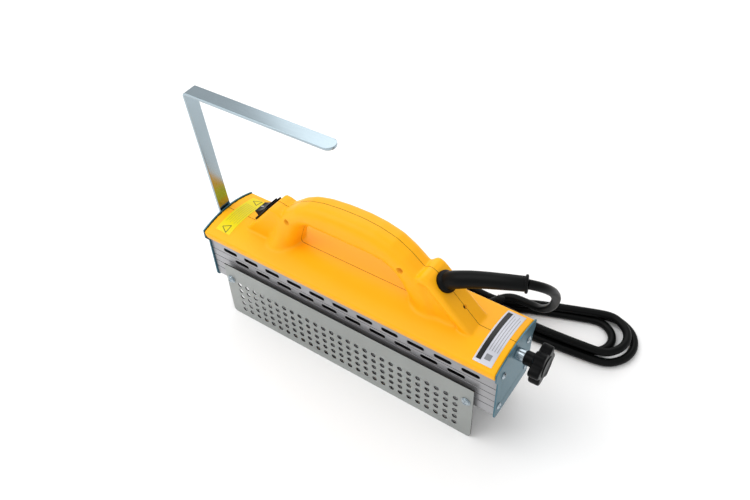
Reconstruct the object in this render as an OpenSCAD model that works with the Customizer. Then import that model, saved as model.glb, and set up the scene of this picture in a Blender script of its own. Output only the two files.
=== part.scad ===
// Hand-held infrared paint remover: a ribbed aluminium housing with two quartz
// lamps, a moulded cover with a loop handle, perforated guards and a hanging bar.
// X runs along the machine towards the cord, -Y is the left side, +Z is up, and
// the guards' lower edges stand on Z = 0.

/* [Housing] */
// Length of the aluminium housing between its end plates
housing_l = 355; // [310:5:430]
// Width of the housing across its side walls
housing_w = 66; // [62:1:84]
// Height of the housing's lower edge above the ground
housing_z = 44.5; // [40:0.5:56]
// Height of the housing's side walls
housing_h = 62.5; // [60:0.5:76]
// Thickness of the side walls and of the deck
housing_wall = 2; // [1.6:0.1:3]
// Distance between neighbouring vent slots of one row
slot_pitch = 30; // [26:0.5:36]
// Length of a vent slot
slot_l = 19.5; // [12:0.5:23]
// Height of a vent slot
slot_h = 5; // [2:0.1:6.5]

/* [Cover] */
// Width of the moulded cover
cover_w = 79; // [76:1:98]
// Height of the cover's arched top above its eaves
cover_rise = 7; // [4:0.5:12]
// Height of the cover's side lip
cover_lip = 9; // [6:0.5:12]
// Thickness of the moulding
cover_wall = 2.5; // [2:0.1:3.5]
// Height of the grip's top above the ground
grip_top_z = 193; // [186:1:200]
// Thickness of the grip from top to bottom
grip_h = 31; // [28:0.5:34]
// Width of the grip
grip_w = 33; // [30:0.5:38]
// Width of the raised cord block at the rear of the handle
cord_block_w = 34; // [30:0.5:40]

/* [Guards] */
// Length of a perforated guard
guard_l = 316; // [290:1:340]
// Height of a perforated guard
guard_h = 75.5; // [70:0.5:86]
// Thickness of the guard's steel
guard_t = 1.5; // [1:0.1:2.5]
// Gap between the housing and a guard
guard_gap = 4.2; // [3:0.2:8]
// Diameter of the guard's round holes
hole_d = 5.8; // [3:0.2:6]
// Distance between neighbouring holes
hole_pitch = 10.7; // [8:0.1:12]
// Number of hole columns
hole_cols = 27; // [10:1:27]
// Number of hole rows
hole_rows = 5; // [2:1:5]

/* [Hanging bar] */
// Width of the flat bar
bar_w = 15.4; // [12:0.2:20]
// Thickness of the flat bar
bar_t = 3; // [2:0.2:5]
// Height of the bar's upper arm above the ground
bar_top_z = 277.5; // [250:0.5:300]
// Length of the upper arm
bar_arm_l = 179; // [120:1:220]
// Sideways lean of the bar at rest
bar_lean = 4.2; // [0:0.2:6]

/* [Lamps] */
// Diameter of a quartz tube
tube_d = 11; // [9:0.5:12]
// Distance between the two tubes
tube_spacing = 29; // [27:0.5:32]

/* [Cord] */
// Diameter of the rubber mains lead
cord_d = 9; // [8:0.5:10]

/* [Hidden] */
$fn = 48;

eps = 0.01;
plate_t = 1.5;                       // steel of the end plates
side_y = housing_w / 2;              // outer face of a side wall
inner_y = side_y - housing_wall;
wall_top = housing_z + housing_h;
deck_top = wall_top - 9;
deck_low = deck_top - housing_wall;
eave_z = wall_top - 1.5 + cover_lip; // cover's side edge
crown_z = eave_z + cover_rise;
arch_r = (pow(cover_w / 2, 2) + pow(cover_rise, 2)) / (2 * cover_rise);
front_x = -housing_l / 2;
rear_x = housing_l / 2;
axis_z = wall_top + 0.5;             // height of the bar's bolt and of the knob

// The knob and the bar's bolt stick out by different amounts, so the housing is
// moved along X until the whole machine is centred on the origin.
washer_t = 1.2;
play = 0.1;                          // gap beside a face that turns against another
bolt_head_h = 5.3;
knob_len = 22;
spacer_l = 8.5;
front_reach = housing_l / 2 + plate_t + 2 * washer_t + bar_t + 2 * play + bolt_head_h;
rear_reach = housing_l / 2 + plate_t + spacer_l + 2 * play + knob_len;
centre_x = (front_reach - rear_reach) / 2;

module placed() {
    translate([centre_x, 0, 0]) children();
}

// Extrudes an outline drawn in Y and Z along X, starting at x
module along_x(x, l) {
    translate([x, 0, 0]) rotate([90, 0, 90]) linear_extrude(l) children();
}

// Extrudes an outline drawn in X and Z across Y, half to each side of zero
module across_y(w) {
    translate([0, w / 2, 0]) rotate([90, 0, 0]) linear_extrude(w) children();
}

// A rod from x = 0 towards +X
module rod_x(r, l) {
    rotate([0, 90, 0]) cylinder(r = r, h = l);
}

// A rod from y = 0 towards +Y
module rod_y(r, l) {
    rotate([-90, 0, 0]) cylinder(r = r, h = l);
}

// ---------------------------------------------------------------- housing
lip_in = 6;
groove_pitch = 9.2;
groove_d = 0.8;
port_r = 3.5;
port_bore_r = 1.65;
upper_port = [side_y - 8, deck_top + port_r - 0.6];
lower_port = [side_y - housing_wall - port_r + 0.5, housing_z + 13.5];
upper_slot_z = wall_top - 15;
lower_slot_z = upper_slot_z - 10.8;
guard_screw_r = 2.45;
guard_screw_x = guard_l / 2 - 7.5;
guard_screw_z = housing_z + 11;
boss_x = housing_l / 2 - 52;
boss_y = 14;
deck_screw_r = 1.9;

module housing_outline() {
    difference() {
        union() {
            translate([-side_y, housing_z + 4]) square([housing_w, housing_h - 4]);
            translate([-side_y + 4, housing_z]) square([housing_w - 8, 5]);
            for (s = [-1, 1]) translate([s * (side_y - 4), housing_z + 4]) circle(r = 4);
        }
        translate([-inner_y, housing_z + housing_wall]) square([2 * inner_y, deck_low - housing_z - housing_wall]);
        translate([-inner_y, deck_top]) square([2 * inner_y, wall_top]);
        translate([-inner_y + lip_in, housing_z - 1]) square([2 * (inner_y - lip_in), 5]);
        for (s = [-1, 1], k = [0:3])
            translate([s * side_y, lower_slot_z + groove_pitch / 2 + 0.6 - k * groove_pitch])
                square([2 * groove_d, groove_d], center = true);
    }
    for (s = [-1, 1], p = [upper_port, lower_port]) translate([s * p[0], p[1]]) circle(r = port_r);
}

module vent_slot() {
    rotate([90, 0, 0]) linear_extrude(housing_w + 2, center = true) {
        square([slot_l - slot_h, slot_h], center = true);
        for (s = [-1, 1]) translate([s * (slot_l - slot_h) / 2, 0]) circle(d = slot_h);
    }
}

// Numbers of slots in the two rows that fit the housing's length
slot_n = floor((housing_l - slot_l - 30) / slot_pitch);

module housing() {
    color([0.78, 0.79, 0.81]) placed() difference() {
        along_x(front_x, housing_l) difference() {
            housing_outline();
            for (s = [-1, 1], p = [upper_port, lower_port])
                translate([s * p[0], p[1]]) circle(r = port_bore_r);
        }
        for (i = [0:slot_n]) translate([(i - slot_n / 2) * slot_pitch, 0, upper_slot_z]) vent_slot();
        for (i = [0:slot_n - 1])
            translate([(i - (slot_n - 1) / 2) * slot_pitch, 0, lower_slot_z]) vent_slot();
        for (sx = [-1, 1], sy = [-1, 1])
            translate([sx * guard_screw_x, sy * side_y, guard_screw_z])
                rotate([sy * 90, 0, 0]) translate([0, 0, -1]) cylinder(r = guard_screw_r + 0.05, h = 12);
        for (sx = [-1, 1], sy = [-1, 1])
            translate([sx * boss_x, sy * boss_y, deck_low - 1]) cylinder(r = deck_screw_r + 0.2, h = 9);
        translate([lead_x, 0, deck_low - 1]) cylinder(r = lead_r, h = 9);
    }
}

// ---------------------------------------------------------------- end plates
plate_shoulder = 6.5;
plate_side = side_y + 2;
stud_r = 3.9;

module plate_outline() {
    intersection() {
        union() {
            polygon([[-cover_w / 2, crown_z + 5], [-cover_w / 2, wall_top - 2],
                [-plate_side, wall_top - 2 - plate_shoulder], [-plate_side, housing_z + 4],
                [plate_side, housing_z + 4], [plate_side, wall_top - 2 - plate_shoulder],
                [cover_w / 2, wall_top - 2], [cover_w / 2, crown_z + 5]]);
            translate([-plate_side + 5, housing_z - 1]) square([2 * plate_side - 10, 8]);
            for (s = [-1, 1]) translate([s * (plate_side - 5), housing_z + 4]) circle(r = 5);
        }
        translate([0, crown_z + 1.2 - arch_r]) circle(r = arch_r, $fn = 120);
    }
}

module end_plate(x) {
    placed() difference() {
        along_x(x, plate_t) difference() {
            plate_outline();
            for (s = [-1, 1], p = [upper_port, lower_port])
                translate([s * p[0], p[1]]) circle(r = 2.1);
            translate([0, axis_z]) circle(r = stud_r + 0.1);
        }
    }
}

module front_end_plate() {
    color([0.62, 0.68, 0.72]) end_plate(front_x - plate_t);
}

module rear_end_plate() {
    color([0.62, 0.68, 0.72]) end_plate(rear_x);
}

// Pan-head screw with its head at the origin, pointing along -Z, cross recess on top
module pan_screw(head_r, head_h, shank_r, shank_l) {
    difference() {
        union() {
            translate([0, 0, -shank_l]) cylinder(r = shank_r, h = shank_l + eps);
            intersection() {
                cylinder(r = head_r, h = head_h);
                translate([0, 0, head_h - head_r * 1.25]) sphere(r = head_r * 1.25);
            }
        }
        for (a = [0, 90]) rotate([0, 0, a])
            translate([-head_r * 0.55, -head_r * 0.11, head_h - 1]) cube([head_r * 1.1, head_r * 0.22, 2]);
    }
}

module plate_screws(dir) {
    color([0.75, 0.77, 0.8]) placed()
        for (s = [-1, 1], p = [upper_port, lower_port])
            translate([dir * (housing_l / 2 + plate_t), s * p[0], p[1]])
                rotate([0, dir * 90, 0]) rotate([0, 0, 30]) pan_screw(3.6, 2.4, port_bore_r - 0.05, 10);
}

module front_plate_screws() {
    plate_screws(-1);
}

module rear_plate_screws() {
    plate_screws(1);
}

// ---------------------------------------------------------------- cover and handle
grip_low_z = grip_top_z - grip_h;
wedge_x = -137;                      // foot of the switch face
wedge_a = 48.5;                      // rise of the switch face
wedge_l = 59;
wedge_dir = [cos(wedge_a), sin(wedge_a)];
crest = [wedge_x, crown_z - 1] + wedge_l * wedge_dir;
foot_z = crown_z - 5;                // the handle's outline starts inside the cover
block_low = [140, crown_z - 1];      // foot of the sloping rear face
block_top = [94, grip_top_z - 28];
block_a = atan2(block_top[1] - block_low[1], block_low[0] - block_top[0]);
block_t = 9;
slope_dir = [cos(block_a), -sin(block_a)];
slope_out = [sin(block_a), cos(block_a)];

// Side view of the handle, seen in X and Z
module handle_outline() {
    polygon([[wedge_x - 3, foot_z], [wedge_x, crown_z - 1], crest - 3 * wedge_dir, crest - [0, 0.5],
        [crest[0] + 3, crest[1]], [-86, crest[1] - 0.5], [-81, grip_top_z - 26.5], [-75, grip_top_z - 21],
        [-65, grip_top_z - 14], [-52, grip_top_z - 7.5], [-35, grip_top_z - 3],
        [-12, grip_top_z - 0.5], [12, grip_top_z], [31, grip_top_z - 1.8],
        [50, grip_top_z - 6.8], [65, grip_top_z - 15.7], [79, grip_top_z - 26.9],
        [84, grip_top_z - 28], block_top, block_low, [141, foot_z]]);
}

// The finger opening inside the handle
module finger_outline() {
    polygon([[-70, foot_z - 1], [-70, crown_z + 1], [-65, crown_z + 10], [-63, grip_low_z - 20],
        [-60, grip_low_z - 9], [-54, grip_low_z - 2], [-46, grip_low_z], [26, grip_low_z],
        [40, grip_low_z - 2], [51, grip_low_z - 8], [59, grip_low_z - 17],
        [66, grip_low_z - 29], [73, crown_z + 2], [74, foot_z - 1]]);
}

module cord_block_outline() {
    polygon([block_top + [-6, 5], block_top, block_low, block_low + [-1, -4],
        block_low - block_t * slope_out + [0, -3],
        block_top - block_t * slope_out - 4 * slope_dir,
        block_top - (block_t - 3) * slope_out - 7 * slope_dir]);
}

// The handle in layers that step inwards towards its sides, which rounds it
round_in = [0, 1.2, 3.2, 6.5];
round_y = [0.62, 0.82, 0.94, 1];
module handle_solid(inset, w) {
    for (k = [0:3]) across_y(round_y[k] * w)
        offset(delta = -(inset + round_in[k])) difference() {
            handle_outline();
            finger_outline();
        }
}

module cover_outline(inset) {
    difference() {
        intersection() {
            translate([-cover_w / 2 + inset, wall_top - 1.5]) square([cover_w - 2 * inset, 40]);
            translate([0, crown_z - arch_r]) circle(r = arch_r - inset, $fn = 120);
        }
        translate([-side_y - 0.3, wall_top - 2]) square([housing_w + 0.6, 2]);
    }
}

module cover_cavity_outline() {
    intersection() {
        translate([-inner_y - 0.4, wall_top - 3]) square([2 * inner_y + 0.8, 40]);
        translate([0, crown_z - arch_r]) circle(r = arch_r - cover_wall, $fn = 120);
    }
}

screw_front = [-74, grip_top_z - 34];
screw_rear = [62, grip_top_z - 29];
screw_sink = 7.5;                    // depth of the screw holes below the grip's side
hollow_w = grip_w - 2 * cover_wall;

module cover_solid() {
    difference() {
        union() {
            along_x(front_x, housing_l) cover_outline(0);
            handle_solid(0, grip_w);
            across_y(cord_block_w) cord_block_outline();
        }
        along_x(front_x - 1, housing_l + 2) cover_cavity_outline();
        handle_solid(cover_wall, hollow_w);
        across_y(hollow_w * 0.6) {
            translate([wedge_x + 8, foot_z - 4]) square([50, 12]);
            translate([84, foot_z - 4]) square([44, 12]);
        }
    }
}

module cover_bosses() {
    for (sx = [-1, 1], sy = [-1, 1]) translate([sx * boss_x, sy * boss_y, deck_top])
        difference() {
            cylinder(r = 4.5, h = eave_z - deck_top + 3);
            translate([0, 0, -1]) cylinder(r = deck_screw_r + 0.05, h = 12);
        }
    for (p = [screw_front, screw_rear]) translate([p[0], 0, p[1]]) difference() {
        rotate([90, 0, 0]) cylinder(r = 4, h = grip_w - 2, center = true);
        rotate([90, 0, 0]) cylinder(r = 1.65, h = grip_w - 10, center = true);
    }
}

switch_l = 30;                       // bezel along the slope
switch_w = 24;
switch_s = 36.5;                     // its centre's distance up the slope

// Moves children to the switch face: X up the slope, Z out of it
module on_switch_face() {
    translate([wedge_x, 0, crown_z - 1]) rotate([0, -wedge_a, 0]) translate([switch_s, 0, 0]) children();
}

module cover_cuts() {
    on_switch_face() translate([0, 0, -4]) cube([switch_l - 3, switch_w - 3, 20], center = true);
    for (p = [screw_front, screw_rear]) translate([p[0], -grip_w / 2 - 1, p[1]]) rod_y(3.4, screw_sink + 1);
    translate([lead_exit[0], 0, lead_exit[2]]) rotate([0, 90 - block_a, 0])
        translate([0, 0, -14]) cylinder(r = cord_d / 2 + 1, h = 20);
    for (s = [-1, 1]) along_x(s * (housing_l / 2 - 0.6) - 0.8, 1.6)
        intersection() {
            translate([0, axis_z]) circle(r = 7.5);
            translate([-20, wall_top]) square([40, 20]);
        }
}

module cover_half(s) {
    color([1, 0.71, 0.09]) placed() intersection() {
        difference() {
            union() {
                cover_solid();
                cover_bosses();
            }
            cover_cuts();
        }
        translate([-300, s > 0 ? 0 : -100, 0]) cube([600, 100, 300]);
    }
}

module cover_left() {
    cover_half(-1);
}

module cover_right() {
    cover_half(1);
}

module handle_screws() {
    color([0.8, 0.8, 0.82]) placed() for (p = [screw_front, screw_rear])
        translate([p[0], -grip_w / 2 + screw_sink, p[1]]) rotate([90, 0, 0])
            pan_screw(3.2, 2.2, 1.6, grip_w - screw_sink - 8);
}

module deck_screws() {
    color([0.75, 0.77, 0.8]) placed() for (sx = [-1, 1], sy = [-1, 1])
        translate([sx * boss_x, sy * boss_y, deck_low]) rotate([180, 0, 0]) pan_screw(3.8, 2.4, deck_screw_r, 11);
}

// ---------------------------------------------------------------- switch
rocker_l = 25;
rocker_w = 17;
rocker_travel = 11;                  // the rocker tips this far to each side
pin_z = 0;
pin_r = 1.2;

module switch_body() {
    color([0.07, 0.07, 0.08]) placed() on_switch_face() difference() {
        union() {
            translate([0, 0, 1]) cube([switch_l, switch_w, 2], center = true);
            translate([0, 0, -6.9]) cube([switch_l - 3.6, switch_w - 3.6, 13.8 + eps], center = true);
        }
        translate([0, 0, -2]) cube([rocker_l + 1.2, rocker_w + 0.6, 14], center = true);
        translate([0, -switch_w, pin_z]) rod_y(pin_r + 0.05, 2 * switch_w);
    }
}

module switch_rocker() {
    color([0.1, 0.1, 0.11]) placed() on_switch_face() translate([0, 0, pin_z])
        rotate([0, rocker_travel, 0]) {
            across_y(rocker_w) polygon([[-rocker_l / 2 + 1.6, -3.6], [rocker_l / 2 - 1.6, -3.6],
                [rocker_l / 2 - 0.9, 5.4], [rocker_l / 2 - 1.8, 6.2], [rocker_l / 4, 4.6], [0, 4],
                [-rocker_l / 4, 4.6], [-rocker_l / 2 + 1.8, 6.2], [-rocker_l / 2 + 0.9, 5.4]]);
            translate([0, -rocker_w / 2 - 1.5, 0]) rod_y(pin_r, rocker_w + 3);
        }
}

// ---------------------------------------------------------------- labels
label_t = 0.3;

// A thin sheet that lies on the arched top between two places in X and in Y
module arched_label(x0, x1, half_y) {
    along_x(x0, x1 - x0) intersection() {
        difference() {
            translate([0, crown_z - arch_r]) circle(r = arch_r + label_t, $fn = 120);
            translate([0, crown_z - arch_r]) circle(r = arch_r + 0.02, $fn = 120);
        }
        translate([-half_y, wall_top]) square([2 * half_y, 40]);
    }
}

module warning_label() {
    color([0.98, 0.9, 0.1]) placed() arched_label(front_x + 10, front_x + 30, 31);
}

module rating_label() {
    color([0.9, 0.9, 0.93]) placed() arched_label(rear_x - 26, rear_x - 7, 35);
}

// ---------------------------------------------------------------- lamps and reflector
tube_z = housing_z + 21.5;
tube_y = tube_spacing / 2;
tube_r = tube_d / 2;
trough_r = tube_y - 0.3;
sheet_t = 0.8;
bracket_t = 2;
bracket_x = housing_l / 2 - 17;
shield_z = deck_low - 8;

module trough_ring(r) {
    for (s = [-1, 1]) translate([s * tube_y, tube_z]) circle(r = r);
}

module reflector() {
    color([0.85, 0.86, 0.88]) placed() along_x(-bracket_x + bracket_t, 2 * (bracket_x - bracket_t)) {
        intersection() {
            difference() {
                trough_ring(trough_r + sheet_t);
                trough_ring(trough_r);
            }
            translate([-40, tube_z]) square([80, 40]);
        }
        for (s = [-1, 1]) translate([s * (tube_y + trough_r + inner_y - 0.3) / 2, tube_z + sheet_t / 2])
            square([inner_y - 0.3 - tube_y - trough_r, sheet_t], center = true);
    }
}

module heat_shield() {
    color([0.7, 0.71, 0.73]) placed() along_x(-bracket_x + bracket_t, 2 * (bracket_x - bracket_t)) {
        translate([-inner_y + 3, shield_z]) square([2 * (inner_y - 3), sheet_t]);
        for (s = [-1, 1]) translate([s * (inner_y - 3) - sheet_t / 2, shield_z - 5]) square([sheet_t, 5 + sheet_t]);
    }
}

module lamp_bracket(x, dir) {
    color([0.66, 0.68, 0.7]) placed() {
        along_x(x, bracket_t) difference() {
            translate([-tube_y - 9.5, tube_z - 10]) square([2 * tube_y + 19, deck_low - tube_z + 10]);
            for (s = [-1, 1]) translate([s * tube_y, tube_z]) circle(r = tube_r + 1.55);
        }
        translate([dir > 0 ? x : x + bracket_t - 9, -tube_y - 9.5, deck_low - 1.5])
            cube([9, 2 * tube_y + 19, 1.5]);
    }
}

module lamp_bracket_front() {
    lamp_bracket(-bracket_x, 1);
}

module lamp_bracket_rear() {
    lamp_bracket(bracket_x - bracket_t, -1);
}

tube_half = bracket_x - 4;
module lamp_tube(s) {
    color([0.93, 0.95, 0.97]) placed() translate([-tube_half, s * tube_y, tube_z])
        difference() {
            rod_x(tube_r, 2 * tube_half);
            translate([-1, 0, 0]) rod_x(tube_r - 1.1, 2 * tube_half + 2);
        }
}

module lamp_tube_left() {
    lamp_tube(-1);
}

module lamp_tube_right() {
    lamp_tube(1);
}

coil_r = 2;
module heating_coils() {
    color([0.55, 0.5, 0.45]) placed() for (s = [-1, 1])
        translate([-tube_half - 6, s * tube_y, tube_z]) rod_x(coil_r, 2 * tube_half + 12);
}

module ceramic_ends() {
    color([0.93, 0.91, 0.86]) placed() for (sx = [-1, 1], sy = [-1, 1])
        translate([sx * (tube_half - 8), sy * tube_y, tube_z]) rotate([0, sx > 0 ? 0 : 180, 0])
            difference() {
                rod_x(tube_r + 1.5, 18);
                translate([-1, 0, 0]) rod_x(tube_r + 0.05, 9);
                translate([-1, 0, 0]) rod_x(coil_r + 0.05, 16);
            }
}

grille_r = 1;
grille_n = 13;
module wire_grille() {
    color([0.75, 0.76, 0.78]) placed() {
        for (i = [0:grille_n - 1])
            translate([(i - (grille_n - 1) / 2) * 25, -inner_y + 0.4, housing_z + housing_wall + grille_r])
                rod_y(grille_r, 2 * inner_y - 0.8);
        for (y = [-16, 0, 16])
            translate([-housing_l / 2 + 8, y, housing_z + housing_wall + grille_r * 2.4])
                rod_x(grille_r, housing_l - 16);
    }
}

// ---------------------------------------------------------------- wiring
lead_x = 96;                         // where the leads pass down through the deck
lead_r = 5;
module terminal_block() {
    color([0.92, 0.92, 0.88]) placed() difference() {
        translate([lead_x - 40, -10, deck_top]) cube([26, 20, 12]);
        for (y = [-6, 0, 6]) translate([lead_x - 41, y, deck_top + 5]) rod_x(1.4, 28);
    }
}

module inner_leads() {
    color([0.6, 0.1, 0.1]) placed() for (y = [-6, 0, 6]) {
        translate([lead_x - 18, y, deck_top + 5]) rod_x(1.3, 14);
        translate([lead_x - 98, y, deck_top + 5]) rod_x(1.3, 62);
    }
}

// ---------------------------------------------------------------- guards
guard_y = side_y + guard_gap;
corner_r = 5;
module guard_outline() {
    hole_z0 = guard_screw_z - 4;
    row_pitch = hole_pitch * 0.92;
    difference() {
        union() {
            translate([-guard_l / 2, corner_r]) square([guard_l, guard_h - corner_r]);
            translate([-guard_l / 2 + corner_r, 0]) square([guard_l - 2 * corner_r, corner_r + 1]);
            for (s = [-1, 1]) translate([s * (guard_l / 2 - corner_r), corner_r]) circle(r = corner_r);
        }
        for (i = [0:hole_cols - 1], j = [0:hole_rows - 1])
            translate([(i - (hole_cols - 1) / 2) * hole_pitch, hole_z0 - j * row_pitch]) circle(d = hole_d);
        for (s = [-1, 1]) translate([s * guard_screw_x, guard_screw_z]) circle(r = guard_screw_r + 0.3);
    }
}

module guard(s) {
    color([0.72, 0.73, 0.75]) placed() translate([0, s > 0 ? guard_y + guard_t : -guard_y, 0])
        rotate([90, 0, 0]) linear_extrude(guard_t) guard_outline();
}

module guard_left() {
    guard(-1);
}

module guard_right() {
    guard(1);
}

// Puts children at each guard screw, with Z pointing out of the housing's side
module at_guard_screws(d) {
    placed() for (sx = [-1, 1], sy = [-1, 1])
        translate([sx * guard_screw_x, sy * (side_y + d), guard_screw_z]) rotate([-sy * 90, 0, 0]) children();
}

module guard_spacers() {
    color([0.75, 0.77, 0.8]) at_guard_screws(0) difference() {
        cylinder(r = 5, h = guard_gap);
        translate([0, 0, -1]) cylinder(r = guard_screw_r + 0.2, h = guard_gap + 2);
    }
}

module guard_washers() {
    color([0.8, 0.82, 0.84]) at_guard_screws(guard_gap + guard_t) difference() {
        cylinder(r = 5, h = 1);
        translate([0, 0, -1]) cylinder(r = guard_screw_r + 0.2, h = 3);
    }
}

module guard_screws() {
    color([0.75, 0.77, 0.8]) at_guard_screws(guard_gap + guard_t + 1)
        pan_screw(4, 2.6, guard_screw_r, guard_gap + guard_t + 1 + 8);
}

// ---------------------------------------------------------------- hanging bar
bar_x = front_x - plate_t - washer_t - play - bar_t;  // outer face of the bar
bend_r = 5;
bolt_r = 3.9;

module bar_profile() {
    difference() {
        union() {
            translate([bar_x, axis_z - 11]) square([bar_t, bar_top_z - axis_z + 11 - bend_r]);
            translate([bar_x + bend_r, bar_top_z - bar_t]) square([bar_arm_l - bend_r - bar_w / 2, bar_t]);
            intersection() {
                translate([bar_x + bend_r, bar_top_z - bend_r]) circle(r = bend_r);
                translate([bar_x, bar_top_z - bend_r]) square(bend_r);
            }
        }
        translate([bar_x + bend_r, bar_top_z - bend_r]) circle(r = bend_r - bar_t);
    }
}

module hanging_bar() {
    color([0.74, 0.77, 0.8]) placed() translate([0, 0, axis_z]) rotate([bar_lean, 0, 0])
        translate([0, 0, -axis_z]) difference() {
            union() {
                across_y(bar_w) bar_profile();
                translate([bar_x + bar_arm_l - bar_w / 2, 0, bar_top_z - bar_t]) cylinder(d = bar_w, h = bar_t);
            }
            translate([bar_x - 1, 0, axis_z]) rod_x(bolt_r + 0.05, bar_t + 2);
        }
}

module bar_bolt() {
    color([0.7, 0.72, 0.75]) placed() translate([bar_x - play - washer_t, 0, axis_z]) {
        translate([-1, 0, 0]) rod_x(bolt_r, 1 + 2 * washer_t + 2 * play + bar_t + plate_t + 9.5);
        translate([-bolt_head_h, 0, 0]) rotate([0, 90, 0]) cylinder(d = 13 / cos(30), h = bolt_head_h, $fn = 6);
    }
}

module bar_washers() {
    color([0.8, 0.82, 0.84]) placed() for (x = [bar_x - play - washer_t, bar_x + bar_t + play])
        translate([x, 0, axis_z]) difference() {
            rod_x(7.9, washer_t);
            translate([-1, 0, 0]) rod_x(bolt_r + 0.1, washer_t + 2);
        }
}

module hex_nut() {
    difference() {
        rotate([0, 90, 0]) cylinder(d = 13 / cos(30), h = 6.5, $fn = 6);
        translate([-1, 0, 0]) rod_x(bolt_r + 0.05, 9);
    }
}

module bar_nut() {
    color([0.7, 0.72, 0.75]) placed() translate([front_x, 0, axis_z]) hex_nut();
}

// ---------------------------------------------------------------- rear knob
knob_d = 39;
lobes = 6;
lobe_turn = -10.4;
module rear_stud() {
    color([0.72, 0.74, 0.77]) placed() translate([rear_x - 9.5, 0, axis_z]) rod_x(stud_r, 9.5 + plate_t + spacer_l + 12);
}

module stud_nut() {
    color([0.7, 0.72, 0.75]) placed() translate([rear_x - 6.5, 0, axis_z]) hex_nut();
}

module knob_spacer() {
    color([0.82, 0.84, 0.86]) placed() translate([rear_x + plate_t, 0, axis_z]) difference() {
        rod_x(6.2, spacer_l);
        translate([-1, 0, 0]) rod_x(stud_r + 0.1, spacer_l + 2);
    }
}

module knob_outline() {
    difference() {
        union() {
            circle(d = knob_d * 0.74);
            for (k = [0:lobes - 1]) rotate(k * 360 / lobes + lobe_turn) {
                translate([knob_d / 2 - 4.2, 0]) circle(r = 4.2);
                translate([0, -4.2]) square([knob_d / 2 - 4.2, 8.4]);
            }
        }
        for (k = [0:lobes - 1]) rotate((k + 0.5) * 360 / lobes + lobe_turn)
            translate([knob_d / 2 + 1.2, 0]) circle(r = 5.6);
    }
}

module star_knob() {
    color([0.06, 0.06, 0.07]) placed() translate([rear_x + plate_t + spacer_l + 2 * play, 0, axis_z]) difference() {
        union() {
            rod_x(7, 11);
            translate([10, 0, 0]) rotate([90, 0, 90]) linear_extrude(knob_len - 11) knob_outline();
            translate([knob_len - 1 - eps, 0, 0]) rod_x(11, 1 + eps);
        }
        translate([-1, 0, 0]) rod_x(stud_r + 0.05, 14);
    }
}

// ---------------------------------------------------------------- cord
lead_exit = [101.6, 0, block_low[1] + (block_low[0] - 101.6) * tan(block_a)];
sleeve_pts = [[102, 0, 158], [108, 0, 163.5], [116, 0, 168.5], [127, 2, 173], [140, 4, 177.5],
    [152, 6, 181], [163, 9, 183], [174, 13, 184]];
fall_pts = [[174, 13, 184], [180, 17, 182], [186, 25, 175], [189, 36, 163], [188, 50, 146],
    [185, 66, 125], [180, 82, 102], [174, 96, 80], [166, 108, 60], [155, 118, 43],
    [143, 124, 36], [127, 128, 31], [110, 127, 28]];
right_h = 2 * cord_d;                 // the lead lies in two layers on the right
left_h = 3 * cord_d;                  // and in three on the left
tail_pts = [[50, 69, 4.5], [36, 65, 4.5], [22, 64, 4.5], [8, 66, 4.5], [-6, 69, 4.5],
    [-20, 72, 6], [-33, 74, 9], [-46, 76, 13], [-58, 76, 16.5], [-70, 76, 18.5]];
plug_r = 18.5;
plug_at = tail_pts[len(tail_pts) - 1];

// One swept tube: p is the route, r the radius at each point, n the number of sides
module swept(p, r, n) {
    last = len(p) - 1;
    t = [for (i = [0:last]) let (d = p[min(i + 1, last)] - p[max(i - 1, 0)]) d / norm(d)];
    u = [for (d = t) let (c = cross(d, abs(d[1]) > 0.9 ? [1, 0, 0] : [0, 1, 0])) c / norm(c)];
    pts = [for (i = [0:last], k = [0:n - 1]) let (v = cross(t[i], u[i]), a = 360 * k / n)
        p[i] + r[i] * (cos(a) * u[i] + sin(a) * v)];
    sides = [for (i = [0:last - 1], k = [0:n - 1])
        [i * n + k, i * n + (k + 1) % n, (i + 1) * n + (k + 1) % n, (i + 1) * n + k]];
    quads = [for (q = sides) each [[q[2], q[1], q[0]], [q[3], q[2], q[0]]]];
    caps = [[for (k = [0:n - 1]) k], [for (k = [n - 1:-1:0]) last * n + k]];
    polyhedron(pts, concat(quads, caps));
}

module strain_relief() {
    color([0.08, 0.08, 0.08]) placed() {
        swept(sleeve_pts, [8.8, 8.4, 8, 7.8, 7.6, 7.4, 7.2, 7.1], 16);
        translate([lead_exit[0], 0, lead_exit[2]]) rotate([0, 90 - block_a, 0]) cylinder(r = 11, h = 4);
    }
}

module mains_lead() {
    color([0.05, 0.05, 0.05]) placed() swept(fall_pts, [for (p = fall_pts) cord_d / 2], 12);
}

// The hank's outer shape: two loops with the tie at the waist between them
right_loop = [220, 149, 38];
left_loop = [40, 101, 30];
waist = [105, 126, 21];

module blob(c, shrink) {
    translate([c[0], c[1]]) circle(r = c[2] - shrink, $fn = 32);
}

module hank_solid() {
    linear_extrude(right_h) difference() {
        hull() {
            blob(right_loop, 0);
            blob(waist, 0);
        }
        hull() {
            blob(right_loop, 3 * cord_d);
            translate([150, 131]) circle(r = 2, $fn = 16);
        }
    }
    linear_extrude(left_h) difference() {
        hull() {
            blob(left_loop, 0);
            blob(waist, 0);
        }
        blob(left_loop, 1.2 * cord_d);
    }
}

module lead_hank() {
    color([0.06, 0.06, 0.06]) placed() hank_solid();
}

tie_w = 8;
tie_t = 1.5;
module lead_tie() {
    color([0.1, 0.1, 0.1]) placed() difference() {
        translate([waist[0] - tie_w, waist[1] - waist[2] - tie_t - 1, 0])
            cube([tie_w, 2 * waist[2] + 2 * tie_t + 2, left_h + tie_t]);
        hank_solid();
    }
}

module lead_tail() {
    color([0.05, 0.05, 0.05]) placed() swept(tail_pts, [for (p = tail_pts) cord_d / 2], 12);
}

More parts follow.
